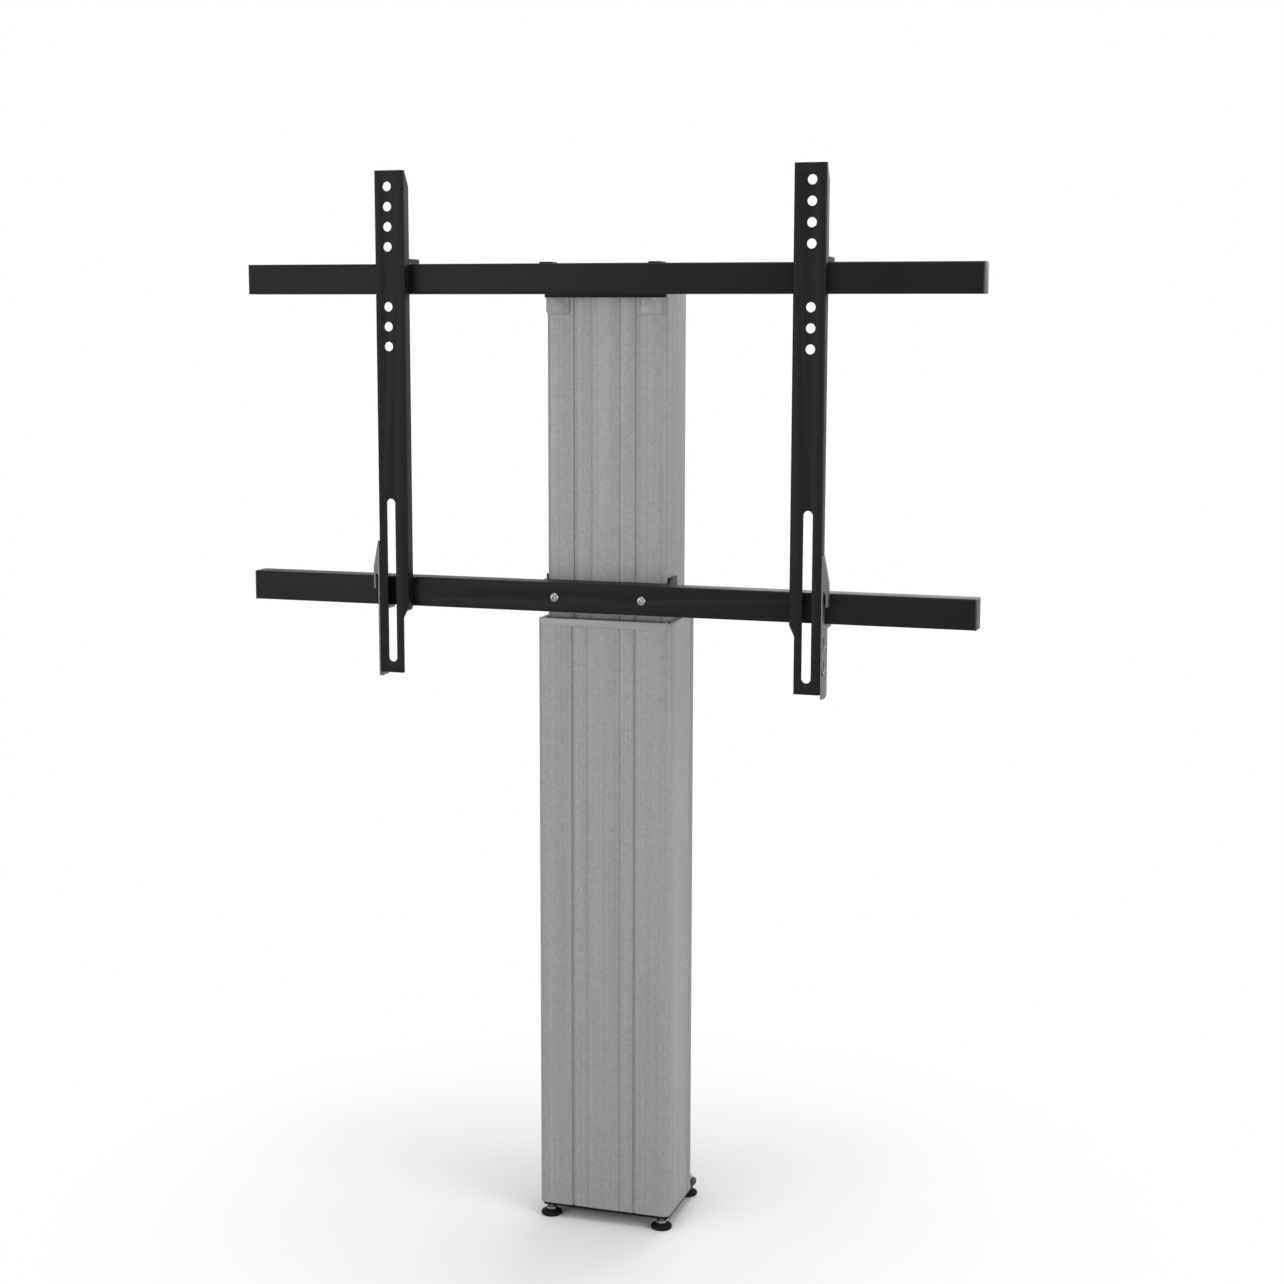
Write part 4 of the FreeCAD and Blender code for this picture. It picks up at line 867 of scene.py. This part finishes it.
def fastener(places):
    """One detailed screw in place of a packed one."""
    low, high = extent(places)
    centre = (low + high) / 2
    k = axis_of(low, high)
    ends = [[p for p in places if abs(p[k] - end[k]) < AT_THE_END] for end in (low, high)]
    widths = [reach(end, centre, k) for end in ends]
    out = -1 if widths[0] > widths[1] else 1
    radius = reach(places, centre, k)
    shank = min(widths)
    along = AXES[k] * out
    if radius < shank * HEADLESS:
        start = centre.copy()
        start[k] = low[k]
        return soften(bar(radius, start, AXES[k], high[k] - low[k], 24), 0.2 * MM)
    wide = [p[k] for p in places if reach([p], centre, k) > (radius + shank) / 2]
    tall = max(wide) - min(wide)
    seat = centre.copy()
    seat[k] = min(wide) if out > 0 else max(wide)
    length = high[k] - low[k] - tall
    outline = [(radius * a, tall * b) for a, b in DOME]
    outline += [(shank, 0.0), (shank, -length + shank * 0.3)]
    outline += [(shank * 0.7, -length), (0.0, -length)]
    body = turned(outline, seat, along, 40)
    recess = bar(radius * RECESS_WIDE, seat + along * tall * RECESS_FLOOR, along, tall, 6)
    return cut(body, recess)


def screws(node, body):
    """A whole group of screws."""
    mesh = together([fastener(group) for group in islands(node)])
    return piece(node + "_domed", mesh, zinc, body, [node])


for group in ("rail", "hanger", "saddle", "bridge"):
    screws(group + "_screws", "lift")
for side in ("left", "right"):
    screws(side + "_latch_screws", side + "_arm")
for group in ("control_box_screws", "bracket_bolts", "motor_screws", "base_screws"):
    screws(group, "base")

# %% [markdown]
# A levelling foot is a rubber pad that stays put and a steel stud that turns in it. The pad is
# spun from its outline: a flat sole, a round rim, and a crown that slopes up to the stud.

# %% Foot pads
PAD = ((0.0, 0.0), (0.88, 0.0), (0.97, 0.1), (1.0, 0.26), (1.0, 0.5), (0.95, 0.66), (0.86, 0.77),
       (0.78, 0.83), (0.66, 0.93), (0.6, 1.0), (0.0, 1.0))
FEET = ("front_left", "front_right", "rear_left", "rear_right")


def standing_on(low, high):
    """The middle of the lowest face between two corners."""
    base = (low + high) / 2
    base.z = low.z
    return base


def foot_pad(foot):
    node = "foot_" + foot + "_pad"
    low, high = corners(node)
    base = standing_on(low, high)
    radius = (high.x - low.x) / 2
    tall = high.z - low.z
    mesh = turned([(radius * a, tall * b) for a, b in PAD], base, Z, 64)
    return piece(node + "_turned", mesh, black_rubber, "foot_" + foot, [node])


for foot in FEET:
    foot_pad(foot)

# %% [markdown]
# The stud has a real thread: a small triangle is spun round the stud while each step also moves
# it up, so that it climbs one pitch in every turn. The same helper cuts the much coarser thread
# of the lifting spindle, which climbs 8 mm a turn, just as far as the lift rises.

# %% A climbing thread
def thread(radius, deep, pitch, start, turns, steps=16):
    """The ridge of a thread: a closed tube of triangle section round the Z axis."""
    mesh = bmesh.new()
    section = ((radius - deep, 0.0), (radius, pitch * 0.32), (radius - deep, pitch * 0.64))
    points = [mesh.verts.new((r, 0, z)) for r, z in section]
    face = mesh.faces.new(points)
    edges = list(face.edges)
    bmesh.ops.delete(mesh, geom=[face], context="FACES_ONLY")
    count = int(turns * steps)
    climb = Vector((0, 0, pitch / steps))
    bmesh.ops.spin(mesh, geom=points + edges, axis=Z, angle=2 * pi * turns, steps=count, dvec=climb)
    close_up(mesh)
    bmesh.ops.translate(mesh, vec=start, verts=mesh.verts)
    return mesh


STUD_RADIUS = 4 * MM
STUD_ROOT = 0.45 * MM
STUD_PITCH = 1.25 * MM
STUD_THREAD = 0.6 * MM
HEXAGON_HALF = 6.5 * MM
HEXAGON_TALL = 4 * MM


def foot_stud(foot):
    node = "foot_" + foot + "_stud"
    low, high = corners(node)
    base = standing_on(low, high)
    flats = (high.y - low.y) / 2
    hexagon = bar(min(flats, HEXAGON_HALF) / cos(pi / 6), base, Z, HEXAGON_TALL, 6)
    hexagon = soften(hexagon, 0.5 * MM, 3)
    root = STUD_RADIUS - STUD_ROOT
    outline = [(0, 0), (root, 0), (root, high.z - low.z - MM)]
    outline += [(STUD_RADIUS - 1.2 * MM, high.z - low.z), (0, high.z - low.z)]
    turns = (high.z - low.z - 6.5 * MM) / STUD_PITCH
    ridge = thread(STUD_RADIUS, STUD_THREAD, STUD_PITCH, base + Z * 4.5 * MM, turns)
    mesh = together([hexagon, turned(outline, base, Z, 24), ridge])
    return piece(node + "_threaded", mesh, zinc, "foot_" + foot, [node])


for foot in FEET:
    foot_stud(foot)
softened("foot_bushes", 0.3, zinc, "base", "threaded_bushes")

# %% [markdown]
# The lifting spindle is a trapezoidal screw, cut from bar and ground. A spun outline gives its
# core and its plain lower end, and the coarse thread winds round the rest. Its coupler, its stop
# washer and the bronze nut are turned pieces that only need their edges broken.

# %% Lifting spindle
SPINDLE_RADIUS = 8 * MM
SPINDLE_CORE = 6.6 * MM
SPINDLE_THREAD = 1.6 * MM
LEAD = 8 * MM
THREAD_STARTS = 16 * MM
low, high = corners("spindle")
base = Vector((0, 0, low.z))
tall = high.z - low.z
core = [(0, 0), (SPINDLE_RADIUS, 0), (SPINDLE_RADIUS, 14 * MM), (SPINDLE_CORE, THREAD_STARTS)]
core += [(SPINDLE_CORE, tall - 3 * MM), (6 * MM, tall), (0, tall)]
turns = (tall - 24 * MM) / LEAD
ridge = thread(SPINDLE_RADIUS, SPINDLE_THREAD, LEAD, base + Z * THREAD_STARTS, turns, 24)
mesh = together([turned(core, base, Z, 40), ridge])
piece("threaded_spindle", mesh, ground_steel, "spindle", ["spindle"])
softened("spindle_coupler", 0.5, zinc, "spindle", "coupler_sleeve")
softened("spindle_stop", 0.3, zinc, "spindle", "stop_washer")
softened("spindle_nut", 0.4, bronze, "lift", "lifting_nut")

# %% [markdown]
# The control box is moulded. Its cover gets louvres for air on both sides, which are cut with a
# row of thin blocks, and the round of every edge comes last.

# %% Control box cover
LOUVRES = 9
LOUVRE_PITCH = 7 * MM
LOUVRE_TALL = 2.6 * MM
LOUVRE_DEEP = 4 * MM
FIRST_LOUVRE = 40 * MM
low, high = corners("control_box_cover")
louvres = []
for k in range(LOUVRES):
    z = high.z - FIRST_LOUVRE - k * LOUVRE_PITCH
    for x in (low.x, high.x):
        start = (x - LOUVRE_DEEP, low.y + 8 * MM, z)
        louvres.append(block(start, (x + LOUVRE_DEEP, high.y - 9 * MM, z + LOUVRE_TALL)))
mesh = soften(cut(copy_of("control_box_cover"), together(louvres)), 0.3 * MM)
piece("box_cover", mesh, black_plastic, "base", ["control_box_cover"])
softened("control_box_tray", 0.3, powder, "base", "box_tray")

# %% [markdown]
# The inlet is a recess with three flat pins. The pins are bare metal, so each gets a thin metal
# sleeve of its own over the moulded one.

# %% Mains inlet and its pins
PIN_PLACES = ((-7, -2), (0, 2), (7, -2))
PIN_ACROSS = 1.1 * MM
PIN_ALONG = 2.1 * MM
softened("mains_inlet", 0.4, black_plastic, "base", "inlet_housing")
low, high = corners("mains_inlet")
inlet = (low + high) / 2
pin_foot = low.z + 8.7 * MM
pin_tip = low.z + 17 * MM
pins = []
for right, back in PIN_PLACES:
    x = inlet.x + right * MM
    y = inlet.y + back * MM
    start = (x - PIN_ACROSS, y - PIN_ALONG, pin_foot)
    pins.append(soften(block(start, (x + PIN_ACROSS, y + PIN_ALONG, pin_tip)), 0.3 * MM))
piece("inlet_pins", together(pins), zinc, "base")

# %% [markdown]
# The board carries a relay, a processor, a finned heat sink and a row of terminals. They are
# small blocks with softened edges, and each kind has its own finish.

# %% Circuit board
TERMINALS = 6
TERMINAL_PITCH = 9
softened("circuit_board", 0.2, lacquer, "base", "board_panel")
low, high = corners("circuit_board")
face = high.y


def on_board(x, z, wide, tall, proud):
    """A component on the board, given from its lower left corner in millimetres."""
    start = Vector((low.x + x * MM, face, low.z + z * MM))
    size = Vector((wide, proud, tall)) * MM
    return soften(block(start, start + size), 0.4 * MM)


relay = on_board(10, 62, 26, 18, 13)
chips = [relay, on_board(46, 66, 14, 14, 1.6), on_board(66, 60, 22, 9, 2.2)]
chips += [on_board(10 + 9 * k, 96, 5, 3, 1.2) for k in range(6)]
piece("relay_and_chips", together(chips), black_plastic, "base")
fins = [on_board(64 + 4 * k, 88, 1.6, 24, 12) for k in range(6)]
fins.append(on_board(64, 88, 21.6, 24, 2))
piece("heat_sink", together(fins), silver, "base")
terminals = []
heads = []
for k in range(TERMINALS):
    terminals.append(on_board(12 + TERMINAL_PITCH * k, 117, 7.5, 9, 10))
    across = low.x + (15.7 + TERMINAL_PITCH * k) * MM
    place = Vector((across, face + 9.6 * MM, low.z + 121 * MM))
    heads.append(bar(1.6 * MM, place, Y, 0.8 * MM, 20))
piece("terminals", together(terminals), nylon, "base")
piece("terminal_screws", together(heads), zinc, "base")

# %% [markdown]
# A capacitor is a drawn can: a crimp runs round it near the board, and its end is dished a
# little inside a rolled rim. Spinning that outline gives all three at once.

# %% Capacitors
CAN = ((0.0, 0.0), (0.9, 0.0), (1.0, 0.03), (1.0, 0.1), (0.92, 0.13), (0.92, 0.16), (1.0, 0.2),
       (1.0, 0.94), (0.95, 1.0), (0.86, 0.99), (0.82, 0.96), (0.0, 0.96))
cans = []
for group in islands("capacitors"):
    low, high = extent(group)
    base = (low + high) / 2
    base.y = low.y
    radius = (high.x - low.x) / 2
    length = high.y - low.y
    cans.append(turned([(radius * a, length * b) for a, b in CAN], base, Y, 40))
piece("capacitor_cans", together(cans), motor_enamel, "base", ["capacitors"])

# %% [markdown]
# The transformer is a stack of thin steel sheets round a copper winding. The sheets are a
# pattern in the finish of the core, and the winding is a well rounded block that stands proud
# of it.

# %% Transformer
WINDING_PROUD = 4 * MM
CORE_END = 8 * MM
CORE_SIDE = 6.2 * MM
low, high = corners("transformer")
core = soften(block(low, (high.x, high.y - WINDING_PROUD, high.z)), 0.5 * MM)
piece("sheet_core", core, core_sheets, "base", ["transformer"])
start = (low.x + CORE_SIDE, low.y + 20 * MM, low.z + CORE_END)
winding = soften(block(start, (high.x - CORE_SIDE, high.y, high.z - CORE_END)), 2.2 * MM, 4)
piece("copper_winding", winding, varnished_copper, "base", ())

# %% [markdown]
# The motor stands on its foot at the bottom of the column. Its can and gearbox are drawn and
# cast pieces with rounded rims, and the gearbox has a ring of small screws round its top.

# %% Motor and gearbox
softened("motor_can", 0.5, motor_enamel, "base", "drawn_can")
softened("motor_end_cap", 0.4, motor_enamel, "base", "lower_cap")
softened("motor_foot", 0.5, powder, "base", "square_foot")
softened("spindle_bearing", 0.4, ground_steel, "base", "bearing_ring")
CASE_SCREWS = 6
CASE_RING = 26 * MM
case_top = corners("gearbox_housing")[1].z
case = [copy_of("gearbox_housing")]
for k in range(CASE_SCREWS):
    angle = pi / 6 + k * pi / 3
    place = Vector((CASE_RING * cos(angle), CASE_RING * sin(angle), case_top - 0.5 * MM))
    case.append(bar(2.6 * MM, place, Z, 0.48 * MM, 20))
case = together(case)
piece("gearbox_case", case, motor_enamel, "base", ["gearbox_housing"])

# %% [markdown]
# Plastic slides keep the inner column true. Each is a moulded block with shallow grooves that
# hold grease, here cut across its face.

# %% Glides
GROOVES = 5
GROOVE_DEEP = 0.3 * MM
GROOVE_TALL = 1.2 * MM
GROOVE_END = 6 * MM


def glide_group(node, body, name):
    """Blocks with softened edges and grease grooves in place of one group of glides."""
    made = []
    for group in islands(node):
        low, high = extent(group)
        mesh = soften(block(low, high), 0.6 * MM)
        size = high - low
        k = 0 if size.x > size.y else 1
        grooves = []
        for step in range(GROOVES):
            z = low.z + size.z * (step + 1) / (GROOVES + 1)
            for side in (low, high):
                near = Vector(low)
                far = Vector(high)
                near[1 - k] = side[1 - k] - GROOVE_DEEP
                far[1 - k] = side[1 - k] + GROOVE_DEEP
                near[k] = low[k] + GROOVE_END
                far[k] = high[k] - GROOVE_END
                near.z = z
                far.z = z + GROOVE_TALL
                grooves.append(block(near, far))
        made.append(cut(mesh, together(grooves)))
    return piece(name, together(made), nylon, body, [node])


glide_group("upper_glides", "base", "mouth_glides")
glide_group("lower_glides", "lift", "foot_glides")

# %% [markdown]
# The last small pieces: the lid in the top of the inner column, the bridge that carries the
# nut, what holds the lower rail, and the lead's grommet and clips. The lead itself has the
# right shape as it was packed, so it only gets its rubber in its material slots.

# %% Lid, bridge, sleeves and lead
softened("top_cap", 0.8, black_plastic, "lift", "column_lid")
softened("nut_bridge", 0.5, zinc, "lift", "bridge_plate")
softened("rail_nuts", 0.4, zinc, "lift", "hexagon_nuts")
softened("rail_spacers", 0.3, zinc, "lift", "spacer_sleeves")
softened("lead_grommet", 0.4, black_rubber, "base", "grommet")
softened("lead_clips", 0.5, black_plastic, "base", "clips")
softened("lower_saddle", 0.4, powder, "lift", "lower_saddle_plate")
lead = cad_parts["motor_lead"]
if not lead.material_slots:
    lead.data.materials.append(black_rubber.material)
for place in lead.material_slots:
    place.material = black_rubber.material

# %% [markdown]
# The photograph's camera stands to the right, 1.2 m up, and looks slightly down. Its place,
# its angles and its focal length were fitted to the holes, rails and feet.

# %% Camera
FOCAL = 2204.2
PICTURE = 1284
SENSOR = 36.0
STANDS = (0.8913, -2.6949, 1.1904)
LEFTWARD = 17.641
DOWNWARD = 8.355
TILT = 0.146
camera_data = bpy.data.cameras.new("camera")
camera_data.sensor_width = SENSOR
camera_data.lens = FOCAL * SENSOR / PICTURE
camera_data.clip_end = 50
camera = bpy.data.objects.new("camera", camera_data)
turn = Matrix.Rotation(radians(LEFTWARD), 4, "Z") @ Matrix.Rotation(radians(90 - DOWNWARD), 4, "X")
turn = turn @ Matrix.Rotation(radians(TILT), 4, "Z")
camera.matrix_world = Matrix.Translation(STANDS) @ turn
bpy.context.scene.collection.objects.link(camera)
bpy.context.scene.camera = camera
print("lens:", round(camera_data.lens, 1))

# %% [markdown]
# The stage is a pale floor. Close to the feet it is real paper white, so that it takes their
# shadow, and further out it fades to pure white for the camera and for mirrored rays. The
# fade is a mask by the distance from the column, and the world behind it is as white.

# %% Floor
FLOOR_HALF = 9.0
FADE_STARTS = 0.12
FADE_ENDS = 0.8


def background_rays(finish):
    """1 for rays that see the background: the camera's, mirrored ones and clear ones."""
    path = finish.node("ShaderNodeLightPath")
    camera_ray = Number(finish, path.outputs["Is Camera Ray"])
    glossy_ray = Number(finish, path.outputs["Is Glossy Ray"])
    clear_ray = Number(finish, path.outputs["Is Transmission Ray"])
    return camera_ray.math("MINIMUM", camera_ray + glossy_ray + clear_ray, 1.0)


def fade_to_white(finish, mask, glow, output):
    """Show plain white in place of the shader where a mask is 1."""
    white = finish.node(glow, None, {"Color": (1, 1, 1, 1), "Strength": 1.0})
    sockets = {0: mask, 1: finish.shader.outputs[0], 2: white.outputs[0]}
    mix = finish.node("ShaderNodeMixShader", None, sockets)
    finish.feed(finish.tree.nodes[output].inputs["Surface"], mix.outputs[0])


def fading_floor():
    finish = Finish("floor_white", (0.95, 0.95, 0.95), 0.0, 0.7)
    cloud = finish.noise(1.5, 2.0, 0.5)
    finish.vary_roughness(0.7 + cloud * 0.05)
    away = finish.node("ShaderNodeVectorMath", {"operation": "LENGTH"}, {0: finish.place})
    limits = {"Value": away.outputs["Value"], "From Min": FADE_STARTS, "From Max": FADE_ENDS}
    fade = finish.node("ShaderNodeMapRange", {"interpolation_type": "SMOOTHSTEP"}, limits)
    mask = Number(finish, fade.outputs["Result"]) * background_rays(finish)
    fade_to_white(finish, mask, "ShaderNodeEmission", "Material Output")
    return finish


floor_mesh = bmesh.new()
bmesh.ops.create_grid(floor_mesh, x_segments=2, y_segments=2, size=FLOOR_HALF)
floor = as_object(floor_mesh, "floor")
floor.data.materials.append(fading_floor().material)
print("floor fades from", FADE_STARTS, "to", FADE_ENDS, "m")

# %% [markdown]
# Four large soft lamps light the part. The key stands low at the front left, so that light gets
# in under the lower rail, and the fill stands to the right, because the right side of the
# column is a little lighter than its front.

# %% Lamps
def lamp(name, place, aim, size, power):
    data = bpy.data.lights.new(name, "AREA")
    data.shape = "RECTANGLE"
    data.size = size[0]
    data.size_y = size[1]
    data.energy = power
    made = bpy.data.objects.new(name, data)
    way = Vector(aim) - Vector(place)
    turned_to = way.to_track_quat("-Z", "Y").to_matrix().to_4x4()
    made.matrix_world = Matrix.Translation(place) @ turned_to
    bpy.context.scene.collection.objects.link(made)
    return data


HALF_WAY_UP = (0, 0, 0.7)
lamps = [lamp("key", (-2.3, -3.3, 1.3), HALF_WAY_UP, (2.2, 2.2), 42),
         lamp("fill", (3.4, -1.3, 1.3), HALF_WAY_UP, (2.0, 2.2), 49),
         lamp("top", (0.2, -0.4, 4.2), HALF_WAY_UP, (2.6, 2.6), 50),
         lamp("back", (0.4, 3.4, 2.4), (0, 0, 0.8), (2.6, 2.2), 40)]
print("lamps:", [(data.name, data.energy) for data in lamps])

# %% [markdown]
# The world gives the even light of a white room. The camera and mirrored rays see it as plain
# white, and other rays get about half of that, so that the lamps still shape the part.

# %% World
class WorldFinish(Finish):
    """The world's nodes, added in the same way as a material's."""

    def __init__(self, name, grey, strength):
        self.world = bpy.data.worlds.new(name)
        self.world.use_nodes = True
        self.tree = self.world.node_tree
        self.shader = self.tree.nodes["Background"]
        self.feed(self.shader.inputs["Color"], (grey, grey, grey, 1))
        self.feed(self.shader.inputs["Strength"], strength)


studio = WorldFinish("studio", 0.93, 0.48)
fade_to_white(studio, background_rays(studio), "ShaderNodeBackground", "World Output")
bpy.context.scene.world = studio.world
bpy.context.scene.view_settings.view_transform = "Standard"
print("world:", studio.world.name)
